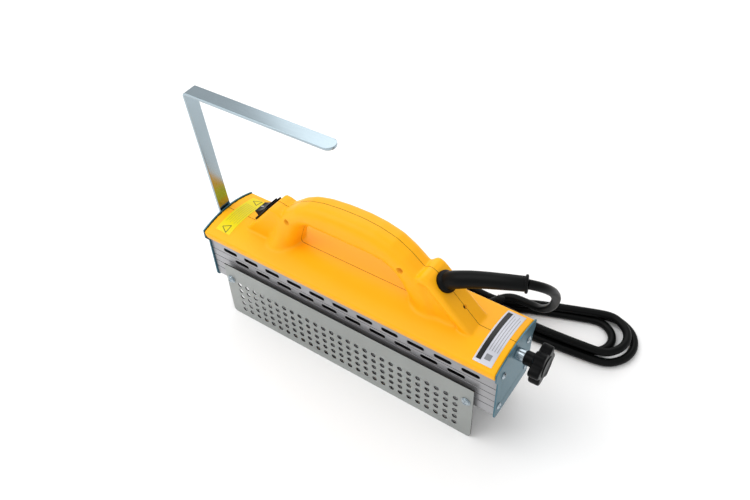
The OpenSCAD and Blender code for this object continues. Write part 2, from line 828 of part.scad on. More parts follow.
module plug_body() {
    color([0.08, 0.08, 0.08]) placed() translate(plug_at) mirror([1, 0, 0]) {
        rod_x(7, 24);
        translate([20, 0, 0]) rotate([0, 90, 0]) cylinder(r1 = 12, r2 = plug_r, h = 8, $fn = 48);
        translate([28 - eps, 0, 0]) rod_x(plug_r, 26);
    }
}

module plug_pins() {
    color([0.8, 0.8, 0.8]) placed() for (s = [-1, 1])
        translate(plug_at + [-54 - 19, s * 9.5, 0]) rod_x(2.4, 19);
}

housing();
front_end_plate();
rear_end_plate();
front_plate_screws();
rear_plate_screws();
cover_left();
cover_right();
handle_screws();
deck_screws();
switch_body();
switch_rocker();
warning_label();
rating_label();
reflector();
heat_shield();
lamp_bracket_front();
lamp_bracket_rear();
lamp_tube_left();
lamp_tube_right();
heating_coils();
ceramic_ends();
wire_grille();
terminal_block();
inner_leads();
guard_left();
guard_right();
guard_spacers();
guard_washers();
guard_screws();
hanging_bar();
bar_bolt();
bar_washers();
bar_nut();
rear_stud();
stud_nut();
knob_spacer();
star_knob();
strain_relief();
mains_lead();
lead_hank();
lead_tie();
lead_tail();
plug_body();
plug_pins();
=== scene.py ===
"""Looks for a hand-held infrared paint remover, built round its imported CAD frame.

The machine is a ribbed aluminium housing with two quartz lamps, a two-part moulded
cover with a loop handle, perforated guards, a hanging bar and a coiled rubber lead.
"""
import logging
import math
from dataclasses import dataclass
from enum import Enum
from typing import Callable, ClassVar, Iterable, Sequence

import bmesh
import bpy
from mathutils import Matrix, Vector
from mathutils.geometry import convex_hull_2d


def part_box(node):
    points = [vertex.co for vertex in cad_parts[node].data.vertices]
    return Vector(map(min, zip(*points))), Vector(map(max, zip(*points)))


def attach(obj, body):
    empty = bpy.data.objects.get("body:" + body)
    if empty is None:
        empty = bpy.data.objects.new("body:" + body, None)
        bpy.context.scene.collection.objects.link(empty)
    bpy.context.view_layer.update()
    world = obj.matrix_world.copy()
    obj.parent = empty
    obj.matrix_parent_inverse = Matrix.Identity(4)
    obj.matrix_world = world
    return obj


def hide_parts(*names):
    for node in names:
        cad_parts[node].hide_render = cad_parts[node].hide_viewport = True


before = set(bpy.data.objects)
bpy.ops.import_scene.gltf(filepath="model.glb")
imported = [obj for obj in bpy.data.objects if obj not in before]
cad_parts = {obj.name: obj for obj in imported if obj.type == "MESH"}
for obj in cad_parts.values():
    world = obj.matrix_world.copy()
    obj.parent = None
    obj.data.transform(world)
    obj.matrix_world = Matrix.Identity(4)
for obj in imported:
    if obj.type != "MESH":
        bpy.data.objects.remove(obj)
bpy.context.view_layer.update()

MM = 0.001
Point = tuple[float, float, float]
Colour = tuple[float, float, float]
LOG = logging.getLogger("paint_remover")


# ------------------------------------------------------------------ shared places
@dataclass(frozen=True)
class Site:
    """Places that every sub-assembly shares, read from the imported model.

    Attributes:
        mid_x: Middle of the housing along X.
        half_l: Half of the housing's length.
        side_y: Outer face of a side wall.
        eave_z: Height where the cover's side meets its arched top.
        crown_z: Height of the arched top at its middle.
        half_w: Half of the cover's width.
        cover_z: Lower edge of the cover's lip.
        axis_z: Height of the bar's bolt and of the knob.
    """

    mid_x: float
    half_l: float
    side_y: float
    eave_z: float
    crown_z: float
    half_w: float
    cover_z: float
    axis_z: float
    rise: ClassVar[float] = 7 * MM
    lip: ClassVar[float] = 9 * MM
    label_t: ClassVar[float] = 0.3 * MM

    @classmethod
    def from_frame(cls) -> "Site":
        """Reads the site from the boxes of the CAD nodes."""
        low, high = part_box("housing")
        half_w = -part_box("cover_left")[0].y
        bolt_low, bolt_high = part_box("bar_bolt")
        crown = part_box("warning_label")[1].z - cls.label_t
        eave = crown - cls.rise
        return cls((low.x + high.x) / 2, (high.x - low.x) / 2, high.y, eave, crown,
                   half_w, eave - cls.lip, (bolt_low.z + bolt_high.z) / 2)

    @property
    def arch_r(self) -> float:
        """Radius of the cover's arched top."""
        rise = self.crown_z - self.eave_z
        return (self.half_w ** 2 + rise ** 2) / (2 * rise)

    def at(self, x: float, y: float, z: float) -> Vector:
        """Turns a place in mm, with X from the housing's middle, into the frame's metres."""
        return Vector((x * MM + self.mid_x, y * MM, z * MM))

    def arch_z(self, y: float) -> float:
        """Height of the arched top at a distance y from the middle."""
        return self.crown_z - self.arch_r + math.sqrt(self.arch_r ** 2 - y ** 2)


# ------------------------------------------------------------------ finishes
class Grain(Enum):
    """Shape of a finish's fine surface pattern."""

    MOULDED = "moulded"
    BRUSHED_X = "brushed along X"
    BRUSHED_Z = "brushed along Z"
    SPANGLED = "spangled"
    PLAIN = "plain"


GRAIN_SCALE = {
    Grain.MOULDED: (1.0, 1.0, 1.0),
    Grain.BRUSHED_X: (0.02, 1.0, 1.0),
    Grain.BRUSHED_Z: (1.0, 1.0, 0.025),
    Grain.SPANGLED: (1.0, 1.0, 1.0),
    Grain.PLAIN: (1.0, 1.0, 1.0),
}


@dataclass(frozen=True)
class Finish:
    """One surface finish and the way to build its material.

    Attributes:
        name: Name of the material.
        colour: Linear base colour.
        roughness: Middle of the roughness range.
        metallic: 1 for bare metal.
        grain: Shape of the fine pattern.
        grain_per_m: Frequency of the fine pattern.
        tint: Share by which the colour varies.
        rough_swing: How far the roughness varies to each side.
        bump_mm: Height of the fine pattern.
        coat: Weight of a clear coat.
        patch_per_m: Frequency of the slow colour change.
        specular: Strength of the plain reflection of what isn't metal.
        painted_shade_inside: Distance from the middle plane inside which the colour is darkened as painted
            shade, or 0.
    """

    name: str
    colour: Colour
    roughness: float
    metallic: float = 0.0
    grain: Grain = Grain.MOULDED
    grain_per_m: float = 2600.0
    tint: float = 0.05
    rough_swing: float = 0.06
    bump_mm: float = 0.02
    coat: float = 0.0
    patch_per_m: float = 14.0
    specular: float = 0.5
    painted_shade_inside: float = 0.0

    def build(self) -> bpy.types.Material:
        """Builds the material, or returns it if it was built before."""
        known = bpy.data.materials.get(self.name)
        if known:
            return known
        material = bpy.data.materials.new(self.name)
        material.use_nodes = True
        tree = material.node_tree
        tree.nodes.clear()
        shader = tree.nodes.new("ShaderNodeBsdfPrincipled")
        output = tree.nodes.new("ShaderNodeOutputMaterial")
        tree.links.new(shader.outputs["BSDF"], output.inputs["Surface"])
        shader.inputs["Metallic"].default_value = self.metallic
        shader.inputs["Coat Weight"].default_value = self.coat
        shader.inputs["Specular IOR Level"].default_value = self.specular
        place = tree.nodes.new("ShaderNodeTexCoord").outputs["Object"]
        stretched = tree.nodes.new("ShaderNodeMapping")
        stretched.inputs["Scale"].default_value = GRAIN_SCALE[self.grain]
        tree.links.new(place, stretched.inputs["Vector"])
        fine = self._noise(tree, stretched.outputs["Vector"], self.grain_per_m, 3.0)
        slow = self._noise(tree, place, self.patch_per_m, 2.0)
        self._colour(tree, shader, slow if self.grain is not Grain.SPANGLED else fine)
        self._roughness(tree, shader, fine)
        if self.bump_mm > 0:
            bump = tree.nodes.new("ShaderNodeBump")
            bump.inputs["Strength"].default_value = 0.5
            bump.inputs["Distance"].default_value = self.bump_mm * MM
            tree.links.new(fine, bump.inputs["Height"])
            tree.links.new(bump.outputs["Normal"], shader.inputs["Normal"])
        return material

    @staticmethod
    def _noise(tree: bpy.types.NodeTree, vector: bpy.types.NodeSocket, scale: float,
               detail: float) -> bpy.types.NodeSocket:
        """Adds a noise texture.

        Args:
            tree: Node tree to add to.
            vector: Coordinates that the noise reads.
            scale: Frequency per metre.
            detail: Number of octaves.

        Returns:
            The noise's factor socket.
        """
        noise = tree.nodes.new("ShaderNodeTexNoise")
        noise.inputs["Scale"].default_value = scale
        noise.inputs["Detail"].default_value = detail
        tree.links.new(vector, noise.inputs["Vector"])
        return noise.outputs["Fac"]

    def _colour(self, tree: bpy.types.NodeTree, shader: bpy.types.Node,
                pattern: bpy.types.NodeSocket) -> None:
        """Varies the base colour a little with a pattern.

        Args:
            tree: Node tree to add to.
            shader: Principled shader.
            pattern: Socket with values from 0 to 1.
        """
        ramp = tree.nodes.new("ShaderNodeValToRGB")
        for element, share in zip(ramp.color_ramp.elements, (1 - self.tint, 1 + self.tint)):
            element.color = (*(min(1.0, c * share) for c in self.colour), 1.0)
        ramp.color_ramp.elements[0].position = 0.3
        ramp.color_ramp.elements[1].position = 0.7
        tree.links.new(pattern, ramp.inputs["Fac"])
        colour = ramp.outputs["Color"]
        # Painted shade: the faces near the middle plane are darkened in colour.
        if self.painted_shade_inside:
            colour = self._painted_shade(tree, colour)
        tree.links.new(colour, shader.inputs["Base Color"])

    def _painted_shade(self, tree: bpy.types.NodeTree, colour: bpy.types.NodeSocket) -> bpy.types.NodeSocket:
        """Darkens the faces near the middle plane as painted shade, for the shade inside the housing and
        behind the guards' holes.

        Args:
            tree: Node tree to add to.
            colour: Colour of the metal without the painted shade.

        Returns:
            The colour with the painted shade.
        """
        parts = tree.nodes.new("ShaderNodeSeparateXYZ")
        place = tree.nodes.new("ShaderNodeTexCoord").outputs["Object"]
        tree.links.new(place, parts.inputs["Vector"])
        across = tree.nodes.new("ShaderNodeMath")
        across.operation = "ABSOLUTE"
        tree.links.new(parts.outputs["Y"], across.inputs[0])
        edge = tree.nodes.new("ShaderNodeMapRange")
        edge.inputs["From Min"].default_value = self.painted_shade_inside
        edge.inputs["From Max"].default_value = self.painted_shade_inside + 0.4 * MM
        edge.inputs["To Min"].default_value = 0.04
        edge.inputs["To Max"].default_value = 1.0
        tree.links.new(across.outputs["Value"], edge.inputs["Value"])
        shade = tree.nodes.new("ShaderNodeMix")
        shade.data_type = "RGBA"
        shade.blend_type = "MULTIPLY"
        shade.inputs["Factor"].default_value = 1.0
        tree.links.new(colour, shade.inputs["A"])
        tree.links.new(edge.outputs["Result"], shade.inputs["B"])
        return shade.outputs["Result"]

    def _roughness(self, tree: bpy.types.NodeTree, shader: bpy.types.Node,
                   pattern: bpy.types.NodeSocket) -> None:
        """Varies the roughness with a pattern.

        Args:
            tree: Node tree to add to.
            shader: Principled shader.
            pattern: Socket with values from 0 to 1.
        """
        spread = tree.nodes.new("ShaderNodeMapRange")
        spread.inputs["To Min"].default_value = max(0.02, self.roughness - self.rough_swing)
        spread.inputs["To Max"].default_value = min(1.0, self.roughness + self.rough_swing)
        tree.links.new(pattern, spread.inputs["Value"])
        tree.links.new(spread.outputs["Result"], shader.inputs["Roughness"])


@dataclass(frozen=True)
class Glass(Finish):
    """Clear quartz glass."""

    def build(self) -> bpy.types.Material:
        """Builds the quartz, with its transmission set on the shader."""
        material = super().build()
        shader = next(n for n in material.node_tree.nodes if n.type == "BSDF_PRINCIPLED")
        shader.inputs["Transmission Weight"].default_value = 0.85
        shader.inputs["IOR"].default_value = 1.46
        return material


YELLOW = Finish("yellow_moulding", (0.98, 0.44, 0.004), 0.40, grain_per_m=2200, tint=0.02, bump_mm=0.012,
                specular=0.20)
# The housing's inner faces are darkened as painted shade, for the shade inside it.
PROFILE = Finish("extruded_aluminium", (0.37, 0.37, 0.385), 0.40, 0.6, Grain.BRUSHED_Z, 1300, 0.09, 0.10,
                 0.012,
                 painted_shade_inside=32.45 * MM)
# Grey zinc plate with a blue-green tint painted into its colour as painted reflection of its surroundings.
ZINC_REFLECTION_TINT = Finish("zinc_plate_reflection_tint", (0.058, 0.158, 0.208), 0.34, 0.75, Grain.SPANGLED, 420, 0.10, 0.08, 0.008)
BAR_STEEL = Finish("zinc_bar", (0.35, 0.425, 0.47), 0.20, 1.0, Grain.BRUSHED_X, 1200, 0.07, 0.07, 0.006)
BRIGHT = Finish("bright_zinc", (0.38, 0.44, 0.48), 0.20, 1.0, Grain.SPANGLED, 900, 0.08, 0.08, 0.004)
# The guards' inner faces and hole walls are darkened as painted shade, for the shade behind the holes.
GUARD_STEEL = Finish("perforated_steel", (0.32, 0.335, 0.325), 0.44, 0.6, Grain.BRUSHED_X, 1500, 0.07, 0.10,
                     0.010,
                     painted_shade_inside=38.2 * MM)
BLACK = Finish("black_moulding", (0.0016, 0.0018, 0.0021), 0.34, grain_per_m=2600, tint=0.2, bump_mm=0.02,
               specular=0.10)
RUBBER = Finish("rubber_skin", (0.0014, 0.0017, 0.0018), 0.42, grain_per_m=1700, tint=0.25, bump_mm=0.03,
                specular=0.10)
# Dark brown painted shade for the faces at the cover's parting line, for the shadow in the gap between the
# halves.
SEAM_SHADE = Finish("parting_face_shade", (0.10, 0.035, 0.002), 0.6, grain_per_m=1800, tint=0.1, bump_mm=0.0,
              specular=0.1)
LABEL_YELLOW = Finish("lemon_film", (0.76, 0.62, 0.003), 0.34, grain_per_m=600, tint=0.03, bump_mm=0.0,
                      specular=0.2)
LABEL_SILVER = Finish("silver_label", (0.56, 0.57, 0.63), 0.34, 0.2, Grain.PLAIN, 900, 0.04, 0.05, 0.0)
INK = Finish("black_ink", (0.008, 0.008, 0.009), 0.35, tint=0.1, bump_mm=0.0, specular=0.3)
GREY_INK = Finish("grey_ink", (0.20, 0.21, 0.23), 0.4, tint=0.1, bump_mm=0.0)
OLIVE_INK = Finish("pale_ink", (0.42, 0.37, 0.02), 0.4, tint=0.1, bump_mm=0.0)
WHITE_INK = Finish("white_ink", (0.80, 0.80, 0.80), 0.4, tint=0.02, bump_mm=0.0)
MIRROR = Finish("polished_reflector", (0.80, 0.81, 0.83), 0.12, 1.0, Grain.BRUSHED_X, 900, 0.03, 0.05, 0.004)
COIL_WIRE = Finish("heating_wire", (0.30, 0.24, 0.20), 0.45, 0.9, Grain.PLAIN, 3000, 0.2, 0.1, 0.01)
SOOTED = Finish("sooted_steel", (0.035, 0.032, 0.030), 0.6, 0.4, Grain.PLAIN, 700, 0.25, 0.10, 0.010,
                specular=0.2)
CERAMIC = Finish("white_ceramic", (0.74, 0.72, 0.66), 0.6, grain_per_m=1600, tint=0.05, bump_mm=0.03)
WIRE_RED = Finish("lead_insulation", (0.42, 0.04, 0.03), 0.5, tint=0.1)
BRASS = Finish("brass_pins", (0.72, 0.68, 0.60), 0.22, 1.0, Grain.PLAIN, 900, 0.06, 0.05, 0.004)
QUARTZ = Glass("quartz_glass", (0.95, 0.97, 0.98), 0.06, tint=0.01, rough_swing=0.03, bump_mm=0.0)


# ------------------------------------------------------------------ mesh helpers
def arc(centre: tuple[float, float], radius: float, start: float, end: float,
        steps: int) -> list[tuple[float, float]]:
    """Points along an arc in a plane.

    Args:
        centre: Middle of the arc.
        radius: Radius of the arc.
        start: First angle in degrees.
        end: Last angle in degrees.
        steps: Number of segments.

    Returns:
        steps + 1 points.
    """
    angles = (math.radians(start + (end - start) * i / steps) for i in range(steps + 1))
    return [(centre[0] + radius * math.cos(a), centre[1] + radius * math.sin(a)) for a in angles]


def smooth_route(points: Sequence[Sequence[float]], step: float) -> list[Vector]:
    """Runs a smooth curve through some points.

    Args:
        points: Points that the curve passes through.
        step: Distance between the points returned.

    Returns:
        Points along the curve, with both ends.
    """
    p = [Vector(q) for q in points]
    p = [2 * p[0] - p[1], *p, 2 * p[-1] - p[-2]]
    route: list[Vector] = []
    for a, b, c, d in zip(p, p[1:], p[2:], p[3:]):
        count = max(1, round((c - b).length / step))
        for i in range(count):
            t = i / count
            route.append(0.5 * (2 * b + (c - a) * t + (2 * a - 5 * b + 4 * c - d) * t ** 2
                                + (3 * b - a - 3 * c + d) * t ** 3))
    return [*route, p[-2]]


def relaxed(route: Sequence[Vector], passes: int, low: float) -> list[Vector]:
    """Evens out the bends of a route, as a stiff lead does.

    Args:
        route: Points along the route.
        passes: How often each point moves towards its neighbours.
        low: Lowest height that a point may have.

    Returns:
        The route with the same two ends.
    """
    points = [p.copy() for p in route]
    for _ in range(passes):
        inner = [(a + 2 * b + c) / 4 for a, b, c in zip(points, points[1:], points[2:])]
        points = [points[0], *inner, points[-1]]
    for p in points:
        p.z = max(p.z, low)
    return points


def prism(outline: Iterable[Sequence[float]], low: float, high: float,
          plane: str = "xz") -> bmesh.types.BMesh:
    """Extrudes a flat outline.

    Args:
        outline: Corners of the outline.
        low: Where the solid starts across the outline's plane.
        high: Where it ends.
        plane: Axes of the outline, "xz", "yz" or "xy".

    Returns:
        A closed solid.
    """
    spread = {"xz": lambda u, v: (u, low, v), "yz": lambda u, v: (low, u, v), "xy": lambda u, v: (u, v, low)}
    step = {"xz": (0, high - low, 0), "yz": (high - low, 0, 0), "xy": (0, 0, high - low)}
    bm = bmesh.new()
    face = bm.faces.new([bm.verts.new(spread[plane](u, v)) for u, v in outline])
    moved = bmesh.ops.extrude_face_region(bm, geom=[face])["geom"]
    bmesh.ops.translate(bm, verts=[g for g in moved if isinstance(g, bmesh.types.BMVert)], vec=step[plane])
    bmesh.ops.recalc_face_normals(bm, faces=bm.faces)
    return bm


def rim_edges(bm: bmesh.types.BMesh, sharper_than: float = 30.0) -> list[bmesh.types.BMEdge]:
    """The edges of a mesh whose faces meet at more than an angle in degrees."""
    limit = math.radians(sharper_than)
    return [e for e in bm.edges if len(e.link_faces) == 2 and e.calc_face_angle(0.0) > limit]


def round_edges(bm: bmesh.types.BMesh, edges: Sequence[bmesh.types.BMEdge], radius: float,
                segments: int = 3) -> bmesh.types.BMesh:
    """Rounds edges.

    Args:
        bm: Mesh to change.
        edges: Edges to round.
        radius: Radius of the rounding.
        segments: Segments across it.

    Returns:
        The same mesh.
    """
    bmesh.ops.bevel(bm, geom=list(edges), offset=radius, offset_type="OFFSET", segments=segments,
                    profile=0.5, affect="EDGES", clamp_overlap=True, material=-1)
    return bm


def lathe(profile: Sequence[Sequence[float]], axis: Vector, origin: Vector,
          segments: int = 48) -> bmesh.types.BMesh:
    """Turns a profile round an axis.

    Args:
        profile: Pairs of distance along the axis and radius, closed on the axis at both ends.
        axis: Direction of the axis.
        origin: Where the distances start.
        segments: Steps round the turn.

    Returns:
        A closed turned solid.
    """
    bm = bmesh.new()
    verts = [bm.verts.new((r, 0, s)) for s, r in profile]
    edges = [bm.edges.new(pair) for pair in zip(verts, verts[1:])]
    bmesh.ops.spin(bm, geom=verts + edges, cent=(0, 0, 0), axis=(0, 0, 1), angle=math.tau,
                   steps=segments, use_merge=True, use_normal_flip=False, use_duplicate=False)
    bmesh.ops.remove_doubles(bm, verts=bm.verts, dist=1e-7)
    bmesh.ops.recalc_face_normals(bm, faces=bm.faces)
    turn = axis.to_track_quat("Z", "Y").to_matrix().to_4x4()
    bmesh.ops.transform(bm, matrix=Matrix.Translation(origin) @ turn, verts=bm.verts)
    return bm


def merged(parts: Iterable[bmesh.types.BMesh]) -> bmesh.types.BMesh:
    """Puts several meshes into one and frees them."""
    whole = bmesh.new()
    for part in parts:
        scratch = bpy.data.meshes.new("scratch")
        part.to_mesh(scratch)
        part.free()
        whole.from_mesh(scratch)
        bpy.data.meshes.remove(scratch)
    return whole


def sweep(route: Sequence[Vector], radii: Sequence[float], sides: int = 24) -> bmesh.types.BMesh:
    """Sweeps a circle of changing radius along a route.

    Args:
        route: Centres of the rings.
        radii: Radius at each centre.
        sides: Sides of each ring.

    Returns:
        A closed tube.
    """
    bm = bmesh.new()
    ring = bmesh.ops.create_circle(bm, cap_ends=True, radius=1.0, segments=sides)["verts"]
    face = ring[0].link_faces[0]
    up = Vector((0, 0, 1))
    previous = Matrix.Identity(4)
    for i, centre in enumerate(route):
        along = (route[min(i + 1, len(route) - 1)] - route[max(i - 1, 0)]).normalized()
        side = up.cross(along).normalized()
        turn = Matrix((side, along.cross(side), along)).transposed().to_4x4()
        place = Matrix.Translation(centre) @ turn @ Matrix.Diagonal((radii[i], radii[i], radii[i], 1.0))
        if i:
            moved = bmesh.ops.extrude_face_region(bm, geom=[face])["geom"]
            ring = [g for g in moved if isinstance(g, bmesh.types.BMVert)]
            grown = next(g for g in moved if isinstance(g, bmesh.types.BMFace))
            if i > 1:
                bmesh.ops.delete(bm, geom=[face], context="FACES_ONLY")
            face = grown
        bmesh.ops.transform(bm, matrix=place @ previous.inverted(), verts=ring)
        previous = place
    bmesh.ops.recalc_face_normals(bm, faces=bm.faces)
    return bm


def piece(bm: bmesh.types.BMesh, name: str, finish: Finish, body: str,
          replaces: Sequence[str] = (), smooth: bool = True) -> bpy.types.Object:
    """Makes a mesh into a finished piece that rides on a CAD body.

    Args:
        bm: Mesh in the row frame, which is freed.
        name: Name of the piece.
        finish: Finish of the whole piece.
        body: CAD body that it rides on.
        replaces: CAD nodes that it stands for.
        smooth: Whether its faces are shaded smooth.

    Returns:
        The new object.
    """
    mesh = bpy.data.meshes.new(name)
    bm.to_mesh(mesh)
    bm.free()
    mesh.polygons.foreach_set("use_smooth", [smooth] * len(mesh.polygons))
    thing = bpy.data.objects.new(name, mesh)
    bpy.context.scene.collection.objects.link(thing)
    thing.data.materials.append(finish.build())
    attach(thing, body)
    if replaces:
        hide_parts(*replaces)
    LOG.info("%s: %d faces, on %s", name, len(mesh.polygons), body)
    return thing


def crisp(thing: bpy.types.Object) -> None:
    """Keeps flat faces flat in shading between their rounded edges."""
    normals = thing.modifiers.new("crisp", "WEIGHTED_NORMAL")
    normals.weight = 50
    normals.keep_sharp = False


def dress(node: str, finish: Finish, radius: float = 0.0, segments: int = 2) -> bpy.types.Object:
    """Gives a CAD node its finish and, with modifiers, small rounded edges.

    Args:
        node: Name of the CAD node.
        finish: Finish of the whole node.
        radius: Radius of its edges, or 0 to leave them.
        segments: Segments across the rounding.

    Returns:
        The node's object.
    """
    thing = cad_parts[node]
    thing.data.materials.clear()
    thing.data.materials.append(finish.build())
    thing.data.polygons.foreach_set("use_smooth", [True] * len(thing.data.polygons))
    weld = thing.modifiers.new("weld", "WELD")
    weld.merge_threshold = 1e-6
    if radius:
        bevel = thing.modifiers.new("edges", "BEVEL")
        bevel.width = radius
        bevel.segments = segments
        bevel.limit_method = "ANGLE"
        bevel.angle_limit = math.radians(35)
        bevel.use_clamp_overlap = False
    crisp(thing)
    LOG.info("%s: CAD node in %s", node, finish.name)
    return thing


def applied(bm: bmesh.types.BMesh, change: Callable[[bpy.types.Object], None]) -> bmesh.types.BMesh:
    """Runs modifiers on a mesh.

    Args:
        bm: Mesh to change, which is freed.
        change: Adds the modifiers to an object that holds the mesh.

    Returns:
        The changed mesh.
    """
    mesh = bpy.data.meshes.new("scratch")
    bm.to_mesh(mesh)
    bm.free()
    holder = bpy.data.objects.new("scratch", mesh)
    bpy.context.scene.collection.objects.link(holder)
    change(holder)
    bpy.context.view_layer.update()
    result = bmesh.new()
    result.from_object(holder, bpy.context.evaluated_depsgraph_get())
    bpy.data.objects.remove(holder)
    bpy.data.meshes.remove(mesh)
    return result


def cut(bm: bmesh.types.BMesh, cutters: bmesh.types.BMesh) -> bmesh.types.BMesh:
    """Cuts one closed mesh out of another and frees both.

    Args:
        bm: Mesh to cut.
        cutters: Closed mesh that is taken away.

    Returns:
        The cut mesh.
    """
    mesh = bpy.data.meshes.new("cutters")
    cutters.to_mesh(mesh)
    cutters.free()
    tool = bpy.data.objects.new("cutters", mesh)
    bpy.context.scene.collection.objects.link(tool)

    def change(holder: bpy.types.Object) -> None:
        """Adds the difference."""
        modifier = holder.modifiers.new("cut", "BOOLEAN")
        modifier.operation = "DIFFERENCE"
        modifier.solver = "EXACT"
        modifier.use_self = True
        modifier.object = tool

    result = applied(bm, change)
    bpy.data.objects.remove(tool)
    bpy.data.meshes.remove(mesh)
    return result


# ------------------------------------------------------------------ stage
@dataclass
class Studio:
    """Camera, floor and soft lights."""

    site: Site
    eye: Point = (332.2, -416.0, 647.5)
    azimuth: float = 36.62
    elevation: float = 43.38
    roll: float = -2.82
    lens: float = 35.64
    lights: tuple[tuple[str, Point, float, float], ...] = (
        ("key_light", (-0.9, -0.5, 1.5), 1.6, 17.0),
        ("fill_light", (0.9, -1.0, 1.1), 1.6, 3.0),
        ("back_light", (-0.5, 1.2, 1.3), 1.4, 9.0),
    )

    def build(self) -> None:
        """Makes the whole stage."""
        self.camera()
        self.floor()
        self.lamps()

    def camera(self) -> None:
        """Puts the camera where the machine was seen from."""
        data = bpy.data.cameras.new("camera")
        data.lens = self.lens
        data.sensor_width = 36.0
        camera = bpy.data.objects.new("camera", data)
        bpy.context.scene.collection.objects.link(camera)
        az, el, roll = (math.radians(a) for a in (self.azimuth, self.elevation, self.roll))
        ahead = Vector((-math.sin(az) * math.cos(el), math.cos(az) * math.cos(el), -math.sin(el)))
        right = Vector((math.cos(az), math.sin(az), 0.0))
        up = right.cross(ahead)
        across = math.cos(roll) * right + math.sin(roll) * up
        over = math.cos(roll) * up - math.sin(roll) * right
        turn = Matrix((across, over, -ahead)).transposed().to_4x4()
        camera.matrix_world = Matrix.Translation(self.site.at(*self.eye)) @ turn
        bpy.context.scene.camera = camera

    def floor(self) -> None:
        """Lays a wide pale floor under the machine."""
        bm = bmesh.new()
        bmesh.ops.create_grid(bm, x_segments=2, y_segments=2, size=12.0)
        mesh = bpy.data.meshes.new("floor")
        bm.to_mesh(mesh)
        bm.free()
        floor = bpy.data.objects.new("floor", mesh)
        bpy.context.scene.collection.objects.link(floor)
        finish = Finish("pale_floor", (0.985, 0.985, 0.985), 0.8, tint=0.004, bump_mm=0.0)
        mesh.materials.append(finish.build())

    def lamps(self) -> None:
        """Adds large soft lights and an even white surrounding."""
        for name, place, size, power in self.lights:
            data = bpy.data.lights.new(name, "AREA")
            data.size = size
            data.energy = power
            lamp = bpy.data.objects.new(name, data)
            bpy.context.scene.collection.objects.link(lamp)
            aim = Vector((0, 0, 0.08)) - Vector(place)
            turn = aim.to_track_quat("-Z", "Y").to_matrix().to_4x4()
            lamp.matrix_world = Matrix.Translation(Vector(place)) @ turn
        world = bpy.data.worlds.new("studio")
        world.use_nodes = True
        background = world.node_tree.nodes["Background"]
        background.inputs["Color"].default_value = (1.0, 1.0, 1.0, 1.0)
        background.inputs["Strength"].default_value = 0.72
        bpy.context.scene.world = world
        bpy.context.scene.view_settings.view_transform = "Standard"


